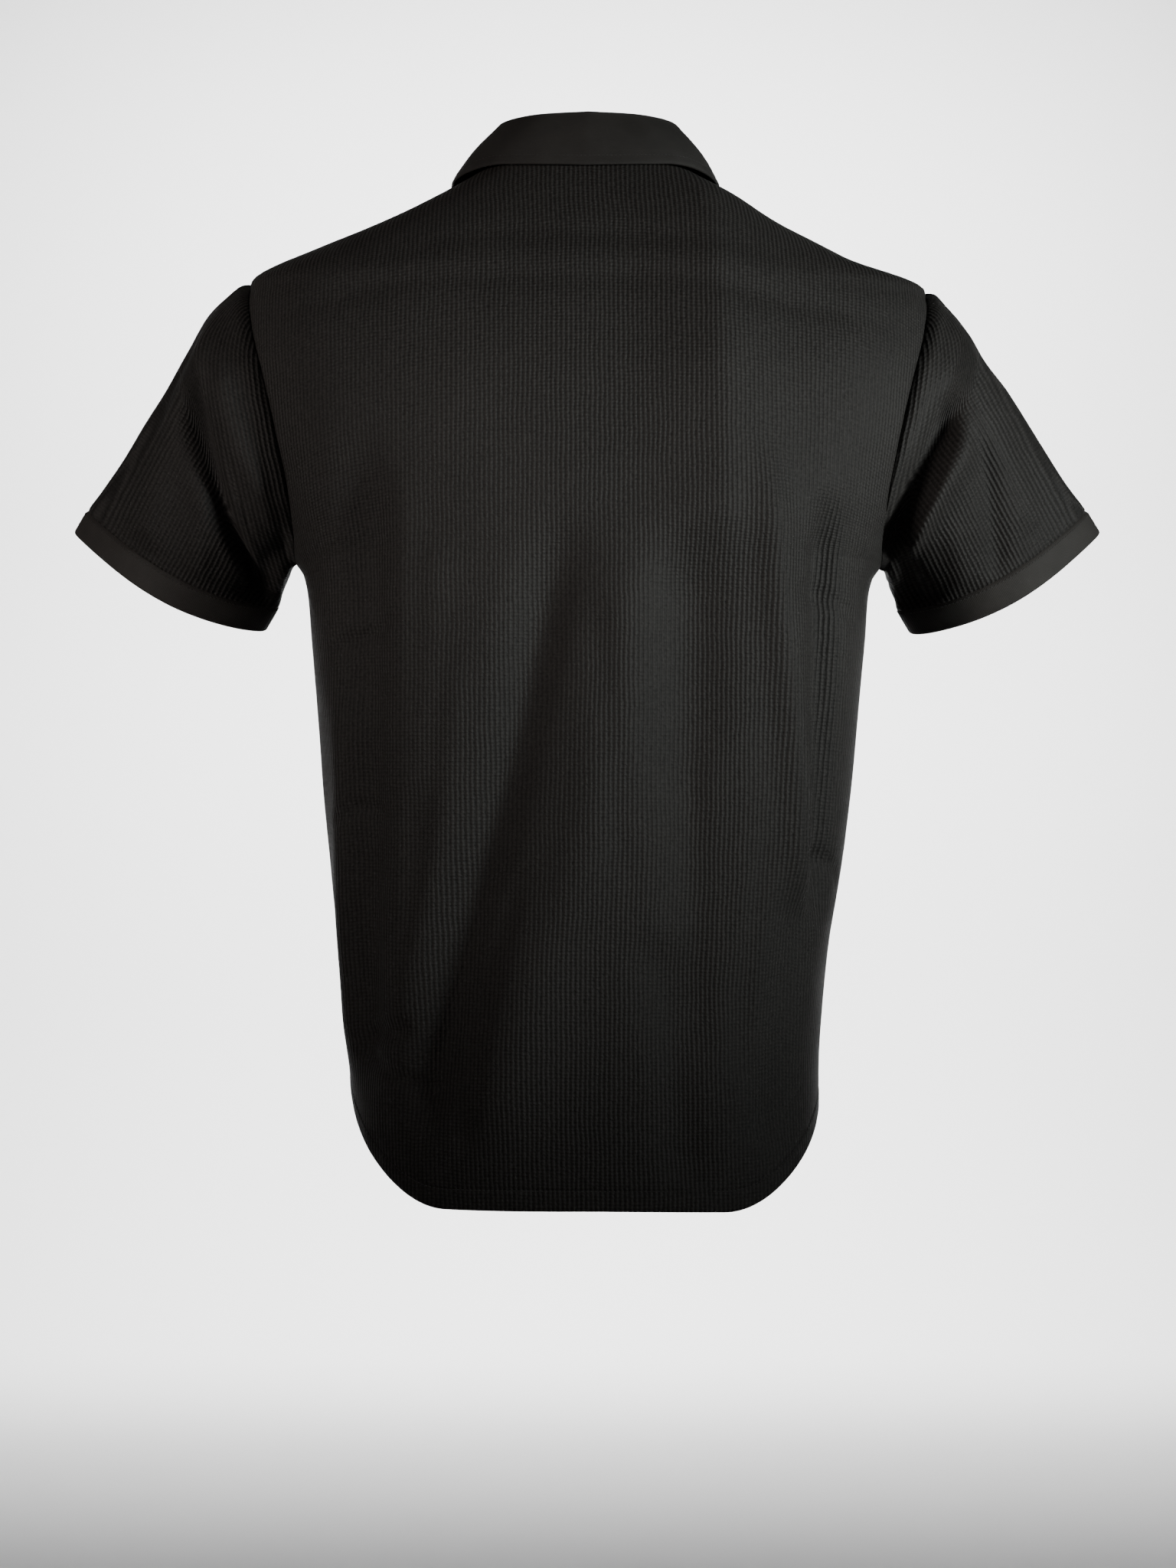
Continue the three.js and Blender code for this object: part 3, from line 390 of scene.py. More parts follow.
def addAllowance(net, reach, depth, normal):
    # one more column on each side, turned in behind the neighbour
    ends = []
    for edge, before in ((0, 3), (-1, -4)):
        step = net[:, edge] - net[:, before]
        along = unit(step) if net.shape[-1] == 3 else np.sign(step) * [1, 0]
        column = net[:, edge] + along * reach[:, None]
        if net.shape[-1] == 3:
            column = column - normal[:, edge] * np.where(reach > 1, depth, 0.3)[:, None]
        ends.append(column[:, None])
    return np.concatenate([ends[0], net, ends[1]], axis=1)


def bodyPanel(name, half):
    rows = bodyRows()
    back = half == "back"
    rowGrid = rows[:, None]
    near = np.array([0, 0.5, 1.2, 2.2, 3.6, 5.4])
    inside = np.linspace(0, 1, cloth["columnCount"])
    start = 0.0 if back else slit["halfWidth"] + near[-1]
    # half of the columns, from the middle out; those beside seams keep their distance from them
    length = ringLength(half, np.clip(rowGrid, 0, cloth["neck"]))
    middle = start + (length - near[-1] - start) * inside[None, :]
    outside = length - near[::-1][None, 1:]
    across = np.concatenate([middle, outside], axis=1)
    if not back:
        slitColumns = np.concatenate([[0, 5, 10], slit["halfWidth"] + near[:-1]])
        across = np.concatenate([np.broadcast_to(slitColumns, (len(rows), len(slitColumns))), across], axis=1)
    across = np.concatenate([-across[:, :0:-1], across], axis=1)
    share = np.clip(across / length, -1, 1)
    at = np.clip(hemAt(rowGrid, share), 0, cloth["neck"])
    length = ringLength(half, at)
    edgeDistance = (1 - np.abs(share)) * length
    sink = edgeRoll(edgeDistance)
    groove = np.exp(-((rowGrid - cloth["hemStitch"]) / 0.75) ** 2)
    sink = sink + cloth["hemGroove"] * groove + edgeRoll(rowGrid, 1.0, 1.6)
    sink = sink - 0.25 * smooth((15 - rowGrid) / 2) * smooth(rowGrid / 2)
    besideArmhole = (at > cloth["underarm"]) & (at < cloth["shoulderPoint"])
    seamSwell = np.exp(-((edgeDistance - 6) / 5) ** 2) * besideArmhole
    sink = sink - seamSwell * (0.35 + 0.5 * wander(at, 0 * at, 11, 34))
    hemPucker = np.exp(-((rowGrid - 9) / 6) ** 2)
    sink = sink - hemPucker * 0.3 * wander(share * 260, 0 * share, 5, 26)
    nearHem = np.exp(-((rowGrid - 40) / 60) ** 2)
    wobble = wander(share * length, at, 21 if back else 22, 190) * (1.1 - 0.5 * nearHem)
    wobble = wobble * smooth(edgeDistance / 30)
    lift = wobble - sink
    holes = None
    if not back:
        middleLine = np.abs(share) * length
        lift = lift - wobble * smooth(1 - (middleLine - 20) / 40) * (at > slit["foot"] - 40)
        centre = np.abs(across[:, :-1] + across[:, 1:])[:-1] / 2 < slit["halfWidth"]
        holes = centre & (rows[:-1, None] >= slit["foot"] - 2)
    outer, normal = onBody(half, share, at, lift)
    inner = outer - normal * (panelThickness(rowGrid) - 0.6 * edgeRoll(edgeDistance, 1, 2.6))[..., None]
    uv = np.stack([share * length, readTable(halves[half]["rise"], share, at)], -1)
    if back:
        # a turned-in seam allowance passes behind the front panel at the sides and shoulders
        inArmhole = (rows > cloth["underarm"] - 3) & (rows < cloth["shoulderPoint"] + 3)
        reach = np.where(inArmhole | (rows < cloth["hemHeight"] + 2), 0.05, seams["allowance"])
        outer, inner, uv = (addAllowance(net, reach, seams["depth"], normal) for net in (outer, inner, uv))
        rim = inner[:, [0, -1]]
        inner[:, [0, -1]] = np.where((reach > 1)[:, None, None], outer[:, [0, -1]] + (
            rim - outer[:, [0, -1]]) * 0.3, rim)
        # columns run from the left to the right seen from behind, so that the faces point out
        outer, inner, uv = outer[:, ::-1], inner[:, ::-1], uv[:, ::-1]
    return addCloth(name, outer, inner, uv, holes=holes)


backPanel = bodyPanel("backPanel", "back")
frontPanel = bodyPanel("frontPanel", "front")
print("body panels made")

sleeveCloth = {"turns": 168, "rowStep": 2.8, "cuffStart": 196.0, "end": 213.5, "cuffThickness": 2.3,
               "cuffProud": 0.4, "lowDrop": 2.0}
# Folds of the sleeves by how far along and the turn in degrees: 0 is the outer top, 90 the back
# and 180 underneath.
sleeveFolds = [
    dict(side=1, turn=[50, 80, 104, 128, 158], along=[64, 74, 90, 112, 166], width=17, depth=-14, runs="round"),
    dict(side=1, turn=[48, 80, 104, 134], along=[34, 36, 32, 26], width=15, depth=5, runs="round"),
    dict(side=1, along=[30, 110, 185], turn=[34, 56, 70], width=13, depth=4, runs="along"),
    dict(side=1, along=[0, 90, 196], turn=[158, 152, 150], width=20, depth=-11, runs="along"),
    dict(side=1, along=[40, 110, 180], turn=[300, 280, 262], width=14, depth=-6, runs="along"),
    dict(side=-1, turn=[62, 96, 122, 158], along=[44, 35, 24, 10], width=16, depth=-18, runs="round"),
    dict(side=-1, turn=[60, 100, 140], along=[74, 66, 56], width=15, depth=6.5, runs="round"),
    dict(side=-1, along=[60, 104, 152, 196], turn=[66, 76, 88, 94], width=8, depth=-4.5, runs="along"),
    dict(side=-1, along=[50, 100, 170], turn=[50, 58, 66], width=12, depth=3.5, runs="along"),
    dict(side=-1, along=[0, 90, 196], turn=[158, 156, 154], width=18, depth=-10, runs="along"),
    dict(side=-1, along=[50, 120, 180], turn=[296, 276, 258], width=14, depth=-6, runs="along"),
    # finer creases that the solids leave out
    dict(side=1, turn=[86, 108, 132], along=[52, 60, 72], width=5, depth=-2.2, runs="round"),
    dict(side=1, along=[90, 140, 190], turn=[92, 100, 108], width=7, depth=2, runs="along"),
    dict(side=1, along=[30, 80, 150], turn=[14, 26, 32], width=8, depth=-2, runs="along"),
    dict(side=-1, turn=[80, 104, 128], along=[54, 52, 46], width=5, depth=-2.2, runs="round"),
    dict(side=-1, along=[100, 150, 190], turn=[110, 112, 116], width=8, depth=2, runs="along"),
    dict(side=-1, along=[24, 60, 110], turn=[28, 36, 42], width=8, depth=1.8, runs="along"),
]
for fold in sleeveFolds:
    travel, across = ("along", "turn") if fold["runs"] == "along" else ("turn", "along")
    fold["path"], fold["ends"] = curveThrough(fold[travel], fold[across]), (fold[travel][0], fold[travel][-1])
sleeveRing = tableCurves(sleeveRings, "along")


def armholeLoop(side):
    # the armhole seam as places by their turn round it, from the underarm up the back and down the front
    at = np.linspace(cloth["underarm"], cloth["shoulderPoint"], 187)
    points = np.concatenate([readTable(halves["back"]["points"], side, at),
                             readTable(halves["front"]["points"], side, at)[::-1]])
    turn = np.degrees(np.arctan2(points[:, 1] / cloth["armholeHalfDepth"],
                                 (points[:, 2] - cloth["armholeZ"]) / cloth["armholeHalfHeight"])) % 360
    order = np.argsort(turn)
    return turn[order], points[order]


loops = {side: armholeLoop(side) for side in (1, -1)}


def onSleeve(side, turn, along, lift=0.0):
    turn, along, lift = np.broadcast_arrays(*(np.asarray(value, float) for value in (turn, along, lift)))
    loopTurn, loopPoints = loops[side]
    seam = np.stack([np.interp(turn % 360, loopTurn, loopPoints[:, k], period=360) for k in range(3)], -1)
    angle = np.radians(turn)

    def place(along, radius):
        ring = {name: curve(along) for name, curve in sleeveRing.items()}
        drop = sleeveCloth["lowDrop"] * along / sleeveCloth["cuffStart"] if side < 0 else 0
        topDrop, topIn = (ring["topDrop"], ring["topIn"]) if side < 0 else (0, 0)
        top = np.stack([side * (ring["topX"] - topIn), ring["middleY"], ring["topZ"] - topDrop], -1)
        low = np.stack([side * ring["lowX"], ring["middleY"], ring["lowZ"] - drop], -1)
        major = (top - low) / 2
        outward = unit(np.stack([side * major[..., 2], 0 * angle, -side * major[..., 0]], -1))
        lean = np.radians(ring["lean"])[..., None]
        minor = outward * np.sin(lean) + np.array([0, 1, 0]) * np.cos(lean)
        cos, sin = np.cos(angle)[..., None], np.sin(angle)[..., None]
        depth = (ring["half"][..., None] * sin * (1 - ring["pinch"][..., None] * cos)
                 * (1 - ring["lens"][..., None] * cos ** 2))
        radial = unit(major * cos / (major ** 2).sum(-1, keepdims=True) + minor * sin / ring["half"][..., None])
        return (top + low) / 2 + major * cos + minor * depth + radial * np.asarray(radius)[..., None], ring

    height = np.zeros_like(turn)
    for fold in sleeveFolds:
        if fold["side"] == side:
            travel, across = (along, turn % 360) if fold["runs"] == "along" else (turn % 360, along)
            first, last = fold["ends"]
            strength = smooth((travel - first) / 30 + 0.3) * smooth((last - travel) / 30 + 0.3)
            offset = (across - fold["path"](travel)) / fold["width"]
            height = height + fold["depth"] * strength * np.exp(-offset ** 2)
    points, ring = place(along, height + lift)
    first, _ = place(0 * along, 0 * lift)
    return points + (seam - first) * ring["seam"][..., None]


def sleevePiece(name, side, rows, lift, thickness, tuck):
    # "tuck" turns the first row in behind the neighbour, as a sewn seam does
    turns = np.arange(sleeveCloth["turns"]) * 360 / sleeveCloth["turns"] + 180
    outer = onSleeve(side, turns[None, :], rows[:, None], lift)
    inner = onSleeve(side, turns[None, :], rows[:, None], -thickness)
    if tuck == "armhole":
        direction = unit(np.stack([0 * outer[0, :, 0], outer[0, :, 1] / cloth["armholeHalfDepth"] ** 2,
                                   (outer[0, :, 2] - cloth["armholeZ"]) / cloth["armholeHalfHeight"] ** 2], -1))
        outer[0] += [side * 0.3, 0, 0]
        seam = outer[0] - direction * 1.3
        behind = seam - direction * 0.9 - np.array([side * seams["allowance"], 0, 0])
        outer = np.concatenate([behind[None], outer])
        inner = np.concatenate([behind[None] - direction * 0.7, inner])
        inner[1] = seam - direction * 1.2
    else:
        behind = onSleeve(side, turns, rows[0] - 2.5, -1.75)
        outer = np.concatenate([behind[None], outer])
        inner = np.concatenate([onSleeve(side, turns, rows[0] - 2.5, -2.4)[None], inner])
    uv = sleeveMap(side, outer, np.concatenate([rows[:1], rows]))
    if side > 0:
        outer, inner, uv = outer[:, ::-1], inner[:, ::-1], uv[:, ::-1]
        outer, inner = np.roll(outer, 1, axis=1), np.roll(inner, 1, axis=1)
    return addCloth(name, outer, inner, uv, wraps=True)


def sleeveMap(side, outer, rows):
    # the tube laid flat: across from its outer top line, and along the way that the ribs run
    way = unit(np.array([side * 0.545, -0.16, -0.82]))
    wrapped = np.concatenate([outer, outer[:, :1]], axis=1)
    step = np.diff(wrapped, axis=1)
    step = step - (step @ way)[..., None] * way
    reach = np.cumsum(np.linalg.norm(step, axis=-1), axis=1)
    across = np.concatenate([np.zeros((len(outer), 1)), reach], axis=1)
    top = sleeveCloth["turns"] // 2
    across = across - across[:, top:top + 1]
    # behind, the ribs run with the outer edge, and with the armhole beside the deep crease
    turn = (np.arange(top, sleeveCloth["turns"] + 1) - top) * 180 / top
    crease = next(fold["path"] for fold in sleeveFolds if fold["side"] == side and fold["runs"] == "round")
    x, z = side * wrapped[:, top:, 0], wrapped[:, top:, 2]
    middle = onSleeve(side, 100, crease(100.0))
    withEdge = 0.86 * (x - side * middle[0]) + 0.51 * (z - middle[2])
    withSeam = 0.975 * (x - side * middle[0]) - 0.22 * (z - middle[2])
    outside = smooth((rows[:, None] - crease(turn)) / 26 + 0.5)
    ribs = withSeam + (withEdge - withSeam) * outside
    start = np.exp(-turn / 22)
    across[:, top:] = -(ribs - ribs[:, :1] * start - ribs[:, :1].mean() * (1 - start))
    return np.stack([across, -(wrapped @ way)], -1)


def sleeve(side):
    rows = np.concatenate([[0, 0.5, 1.2, 2.2, 3.6, 5.4],
                           np.linspace(8, 190, int(182 / sleeveCloth["rowStep"])),
                           [192, 193.6, 194.8, 195.5, 196.0, 196.45]])
    turns = np.arange(sleeveCloth["turns"]) * 360 / sleeveCloth["turns"] + 180
    row, turn = rows[:, None], turns[None, :]
    u = turn / 360 * 400
    head = 0.9 * np.exp(-((row - 7) / 6) ** 2) * (0.6 + 0.5 * wander(u, 0 * u, 31 + side, 40))
    sink = 0.45 * edgeRoll(row) + edgeRoll(sleeveCloth["cuffStart"] + 0.5 - row, 1.1, 3.2)
    wobble = wander(u, row, 41 + side, 150) * 1.3 * smooth(row / 25) * smooth((200 - row) / 20)
    pucker = 0.5 * np.exp(-((row - 188) / 7) ** 2) * wander(u, 0 * u, 51 + side, 24)
    name = "sleeveLeft" if side > 0 else "sleeveRight"
    return sleevePiece(name, side, rows, head - sink + wobble + pucker, cloth["thickness"], "armhole")


def cuff(side):
    start, end = sleeveCloth["cuffStart"] + 0.6, sleeveCloth["end"]
    rows = start + np.array([0, 0.4, 1.0, 1.8, 3.0, 5.0, 8.0, 11.0, 13.9, 15.2, 16.0, 16.5, 16.9])
    row = rows[:, None]
    turns = np.arange(sleeveCloth["turns"])[None, :] * 360 / sleeveCloth["turns"] + 180
    sink = edgeRoll(row - start, 0.9, 2.6) + edgeRoll(end - row, 0.9, 1.5)
    wobble = 0.35 * wander(turns * 1.1, 0 * turns, 61 + side, 60)
    lift = sleeveCloth["cuffProud"] + wobble - sink
    name = "cuffLeft" if side > 0 else "cuffRight"
    return sleevePiece(name, side, rows, lift, sleeveCloth["cuffThickness"] - sleeveCloth["cuffProud"], "cuff")


sleeves = {side: sleeve(side) for side in (1, -1)}
cuffs = {side: cuff(side) for side in (1, -1)}
print("sleeves and cuffs made")

collarCloth = {"thickness": 1.7, "foldRadius": 0.8, "halfColumns": 90, "stitchInset": 6.5, "seamGap": 0.5,
               "halfWidthSquare": 4761, "halfDepthSquare": 3500}
collarStation = tableCurves(collarStations, "turn")


def turnPlace(side, turn, at, lift):
    front = onBody("front", side * np.minimum(turn, 1), at, lift)
    back = onBody("back", side * (2 - np.maximum(turn, 1)), at, lift)
    pick = (turn < 1)[..., None]
    return np.where(pick, front[0], back[0])


def collarProfile(side, turn):
    # the face hidden inside the fold: up the stand, over the top and down the leaf
    station = {name: curve(turn) for name, curve in collarStation.items()}
    seam = turnPlace(side, station["neckTurn"], cloth["neck"] + 0 * turn, 0 * turn)
    seam[..., 2] += collarCloth["seamGap"]
    fold = np.stack([side * station["foldX"], station["foldY"], station["foldZ"]], -1)
    outward = unit(np.stack([fold[..., 0] / collarCloth["halfWidthSquare"],
                             fold[..., 1] / collarCloth["halfDepthSquare"], 0 * turn], -1))
    edge = turnPlace(side, station["edgeTurn"], station["edgeAt"], station["lift"])
    radius = collarCloth["foldRadius"]
    up = np.array([0, 0, 1.0])
    swellWay = outward * 0.8 + up * 0.6
    inside = fold - outward * radius - up * radius
    outside = fold + outward * radius - up * radius
    profile = [seam + (inside - seam) * part for part in np.linspace(0, 1, 9)]
    for angle in np.radians([150, 120, 90, 60, 30]):
        profile.append(fold - up * radius + outward * radius * math.cos(angle) + up * radius * math.sin(angle))
    for part in np.concatenate([[0], np.linspace(0.04, 0.96, 20), [0.975, 0.988, 1.0]]):
        profile.append(outside + (edge - outside) * part
                       + swellWay * (station["swell"] * math.sin(math.pi * part))[..., None])
    return np.stack(profile)


def collarPiece():
    turn = np.concatenate([[0, 0.006, 0.014], np.linspace(0.03, 2, collarCloth["halfColumns"])])
    inner = np.concatenate([collarProfile(-1, turn), collarProfile(1, turn)[:, -2::-1]], axis=1)
    normal = unit(np.cross(np.gradient(inner, axis=1), np.gradient(inner, axis=0)))
    alongLeaf = np.cumsum(np.linalg.norm(np.diff(inner, axis=0, prepend=inner[:1]), axis=-1), axis=0)
    toEdge = alongLeaf[-1:] - alongLeaf
    acrossLeaf = np.cumsum(np.linalg.norm(np.diff(inner, axis=1, prepend=inner[:, :1]), axis=-1), axis=1)
    toEnd = np.minimum(acrossLeaf, acrossLeaf[:, -1:] - acrossLeaf)
    nearest = np.minimum(toEdge, np.where(np.arange(len(inner))[:, None] > 12, toEnd, 99))
    thickness = collarCloth["thickness"] - edgeRoll(nearest, 0.7, 1.6)
    thickness = thickness - 0.45 * np.exp(-((nearest - collarCloth["stitchInset"]) / 0.8) ** 2)
    leafSwell = 0.35 * wander(acrossLeaf, alongLeaf, 71, 70) * smooth(alongLeaf / 40 - 0.6)
    outer = inner + normal * (thickness + leafSwell)[..., None]
    uv = np.stack([acrossLeaf, alongLeaf], -1)
    return addCloth("collarLeaf", outer, inner, uv), outer


collar, collarOuter = collarPiece()
print("collar made")

placket = {"halfWidth": 17.0, "foot": 462, "gap": 0.3, "thickness": 1.4, "stitchInset": 2.6, "boxHeight": 12}


def placketStrip(name, halfWidth, foot, innerLift, outerLift, stitched):
    across = np.concatenate([[0, 0.5, 1.1, 1.9, 2.6, 3.3], np.linspace(4.6, halfWidth, 7)])
    across = np.unique(np.concatenate([across - halfWidth, halfWidth - across]))
    rows = np.concatenate([foot + np.array([0, 0.5, 1.2, 2.1, 3.2]), np.linspace(foot + 6, cloth["neck"], 66)])
    row = rows[:, None]
    share = across[None, :] / ringLength("front", row)
    edge = halfWidth - np.abs(across)[None, :]
    sink = edgeRoll(edge, 0.6, 1.2) + edgeRoll(row - foot, 0.6, 1.2)
    if stitched:
        sink = sink + 0.3 * np.exp(-((edge - placket["stitchInset"]) / 0.5) ** 2)
    outer, _ = onBody("front", share, row, outerLift - sink)
    inner, _ = onBody("front", share, row, innerLift + 0 * share)
    uv = np.stack(np.broadcast_arrays(across[None, :], row), -1)
    return addCloth(name, outer, inner, uv)


placketUpper = placketStrip("placketUpper", placket["halfWidth"], placket["foot"], placket["gap"],
                            placket["gap"] + placket["thickness"], True)
placketUnder = placketStrip("placketUnder", slit["halfWidth"] - placket["gap"], slit["foot"] + 4,
                            -cloth["thickness"], 0.0, False)
print("placket made")

thread = {"radius": 0.26, "length": 2.3, "pitch": 2.9, "rings": 5, "sides": 6}


def onCloth(piece, points):
    # the nearest places on a finished piece, and the ways they face
    places, normals = np.empty_like(points), np.empty_like(points)
    for k, point in enumerate(points * 0.001):
        _, place, normal, _ = piece.closest_point_on_mesh(point)
        places[k], normals[k] = np.array(place) * 1000, normal
    return places, normals


def stitchRow(piece, line, pitch, length):
    # the two ends of each stitch along a line on the cloth
    travel = np.concatenate([[0], np.cumsum(np.linalg.norm(np.diff(line, axis=0), axis=1))])
    count = int((travel[-1] - length) / pitch)
    starts = (travel[-1] - count * pitch - length) / 2 + np.arange(count + 1) * pitch

    def walk(distance):
        return np.stack([np.interp(distance, travel, line[:, k]) for k in range(3)], -1)

    middle, normals = onCloth(piece, walk(starts + length / 2))
    half = unit(walk(starts + length) - walk(starts)) * length / 2
    half = half - (half * normals).sum(-1, keepdims=True) * normals
    return middle - half, middle + half, normals


def addThreads(name, rows, radius):
    # short round threads that dip into the cloth at both ends
    start, end, normal = (np.concatenate(part) for part in zip(*rows))
    part = np.linspace(0, 1, thread["rings"])
    arch = 4 * part * (1 - part)
    angle = np.arange(thread["sides"]) * 2 * math.pi / thread["sides"]
    side = unit(np.cross(end - start, normal))
    middle = (start[:, None] + (end - start)[:, None] * part[:, None]
              + normal[:, None] * (radius * (1.25 * arch - 0.75))[:, None])
    ring = normal[:, None] * np.sin(angle)[:, None] + side[:, None] * np.cos(angle)[:, None]
    size = radius * (0.55 + 0.45 * arch)
    points = middle[:, :, None] + ring[:, None] * size[:, None, None]
    turns, rings = thread["sides"], thread["rings"]
    faces = [list(range(turns)), list(range(rings * turns - 1, (rings - 1) * turns - 1, -1))]
    for k in range(rings - 1):
        for m in range(turns):
            low, high = k * turns + m, k * turns + (m + 1) % turns
            faces.append([high, low, low + turns, high + turns])
    count = rings * turns
    allFaces = [[corner + stitch * count for corner in face] for stitch in range(len(start)) for face in faces]
    mesh = bpy.data.meshes.new(name)
    mesh.from_pydata((points.reshape(-1, 3) * 0.001).tolist(), [], allFaces)
    mesh.polygons.foreach_set("use_smooth", [True] * len(mesh.polygons))
    piece = bpy.data.objects.new(name, mesh)
    bpy.context.collection.objects.link(piece)
    return piece


def hemThread(name, piece, half):
    share = np.linspace(-0.985, 0.985, 400)
    line, _ = onBody(half, share, hemAt(np.full(400, cloth["hemStitch"]), share), 0.5 + 0 * share)
    return addThreads(name, [stitchRow(piece, line, thread["pitch"], thread["length"])], thread["radius"])


def cuffThread(name, piece, side):
    turns = np.linspace(-180, 180, 400)
    line = onSleeve(side, turns, sleeveCloth["cuffStart"] + 2.6 + 0 * turns, sleeveCloth["cuffProud"] + 0.5)
    row = stitchRow(piece, line, thread["pitch"], thread["length"] * 0.9)
    return addThreads(name, [row], thread["radius"] * 1.15)


def collarThread():
    inset = collarCloth["stitchInset"]
    leaf = collarOuter[13:]
    steps = np.linalg.norm(np.diff(leaf[::-1], axis=0, prepend=leaf[-1:]), axis=-1)
    toEdge = np.cumsum(steps, axis=0)[::-1]
    acrossLeaf = np.cumsum(np.linalg.norm(np.diff(leaf, axis=1, prepend=leaf[:, :1]), axis=-1), axis=1)
    bottom = np.stack([[np.interp(inset, toEdge[::-1, j], leaf[::-1, j, k]) for k in range(3)]
                       for j in range(leaf.shape[1])])
    travel = np.cumsum(np.linalg.norm(np.diff(bottom, axis=0, prepend=bottom[:1]), axis=-1))
    bottom = bottom[(travel > inset) & (travel < travel[-1] - inset)]
    ends = []
    for place in (inset, -inset):
        line = [[np.interp(place % acrossLeaf[i, -1], acrossLeaf[i], leaf[i, :, k]) for k in range(3)]
                for i in range(3, len(leaf))]
        ends.append(np.array([point for point, distance in zip(line, toEdge[3:, 0]) if distance > inset]))
    rows = [stitchRow(collar, line, thread["pitch"], thread["length"]) for line in (ends[0], bottom, ends[1])]
    return addThreads("collarThread", rows, thread["radius"])


buttons = {"levels": (660, 578, 508), "diameter": 11.4, "thickness": 2.4, "holeSpacing": 2.5, "holeRadius": 0.8,
           "rim": 1.1, "dish": 0.45, "rounding": 0.4, "holeLength": 14.0, "holeWidth": 1.5, "holePitch": 0.5}


def onStrip(across, row):
    across, row = np.broadcast_arrays(np.asarray(across, float), np.asarray(row, float))
    lift = placket["gap"] + placket["thickness"] + 0.4
    return onBody("front", across / ringLength("front", row), row, lift + 0 * row)[0]


def buttonholes():
    # close stitches down both sides of each slot, and two bars across each end
    width, reach, rows = buttons["holeWidth"], buttons["holeLength"] / 2, []

    def addStitches(inside, outside):
        middle, normals = onCloth(placketUpper, (inside + outside) / 2)
        half = (outside - inside) / 2
        rows.append((middle - half, middle + half, normals))

    for level in buttons["levels"]:
        along = np.arange(-reach, reach, buttons["holePitch"]) + level
        for side in (-1, 1):
            addStitches(onStrip(side * 0.25, along), onStrip(side * width, along))
        for end in (-1, 1):
            bars = level + end * (reach + np.array([0.1, 0.5]))
            addStitches(onStrip(-width, bars), onStrip(width, bars))
    return addThreads("buttonholeThread", rows, 0.2)


def placketThread():
    edge, foot = placket["halfWidth"] - placket["stitchInset"], placket["foot"] + placket["stitchInset"]
    upright = np.linspace(foot, cloth["neck"] - 3, 120)
    lines = [onStrip(-edge, upright), onStrip(edge, upright)]
    lines += [onStrip(np.linspace(-edge, edge, 20), row) for row in (foot, foot + placket["boxHeight"])]
    rows = [stitchRow(placketUpper, line, thread["pitch"], thread["length"]) for line in lines]
    return addThreads("placketThread", rows, thread["radius"])


def onlySelected(piece):
    bpy.ops.object.select_all(action="DESELECT")
    piece.select_set(True)
    bpy.context.view_layer.objects.active = piece


def buttonBlank():
    # a turned disc with a raised rim, a shallow dish and four holes
    mm = 0.001
    bpy.ops.object.select_all(action="DESELECT")
    bpy.ops.mesh.primitive_cylinder_add(vertices=64, radius=buttons["diameter"] / 2 * mm,
                                        depth=buttons["thickness"] * mm, location=(0, 0, 0))
    blank = bpy.context.object
    for face in blank.data.polygons:
        face.select = face.normal.z > 0.9
    bpy.ops.object.mode_set(mode="EDIT")
    bpy.ops.mesh.select_mode(type="FACE")
    bpy.ops.mesh.inset(thickness=buttons["rim"] * mm)
    bpy.ops.mesh.inset(thickness=0.7 * mm, depth=-buttons["dish"] * mm)
    bpy.ops.mesh.inset(thickness=0.5 * mm)
    bpy.ops.object.mode_set(mode="OBJECT")
    for edge in blank.data.edges:
        ends = [blank.data.vertices[k].co for k in edge.vertices]
        flat = abs(ends[0].z - ends[1].z) < 1e-6
        edge.select = flat and min(end.xy.length for end in ends) > (buttons["diameter"] / 2 - 1.2) * mm
    for face in blank.data.polygons:
        face.select = False
    bpy.ops.object.mode_set(mode="EDIT")
    bpy.ops.mesh.select_mode(type="EDGE")
    bpy.ops.mesh.bevel(offset=buttons["rounding"] * mm, segments=3)
    bpy.ops.object.mode_set(mode="OBJECT")
    cutters = []
    for x in (-1, 1):
        for y in (-1, 1):
            bpy.ops.mesh.primitive_cylinder_add(
                vertices=20, radius=buttons["holeRadius"] * mm, depth=6 * mm,
                location=(x * buttons["holeSpacing"] / 2 * mm, y * buttons["holeSpacing"] / 2 * mm, 0))
            cutters.append(bpy.context.object)
    for cutter in cutters:
        onlySelected(blank)
        cut = blank.modifiers.new("hole", "BOOLEAN")
        cut.operation, cut.solver, cut.object = "DIFFERENCE", "EXACT", cutter
        bpy.ops.object.modifier_apply(modifier=cut.name)
        bpy.data.objects.remove(cutter)
    onlySelected(blank)
    bpy.ops.object.shade_smooth_by_angle(angle=math.radians(35))
    return blank


def buttonPlace(node):
    # the middle of a solid button and the way it faces
    solid = bpy.data.objects[node]
    points = np.array([solid.matrix_world @ vertex.co for vertex in solid.data.vertices])
    middle = (points.min(axis=0) + points.max(axis=0)) / 2
    facing = np.linalg.eigh(np.cov((points - points.mean(axis=0)).T))[1][:, 0]
    facing = facing * -np.sign(facing[1])
    up = unit(np.array([0, 0, 1.0]) - facing * facing[2])
    return middle, np.cross(up, facing), up, facing


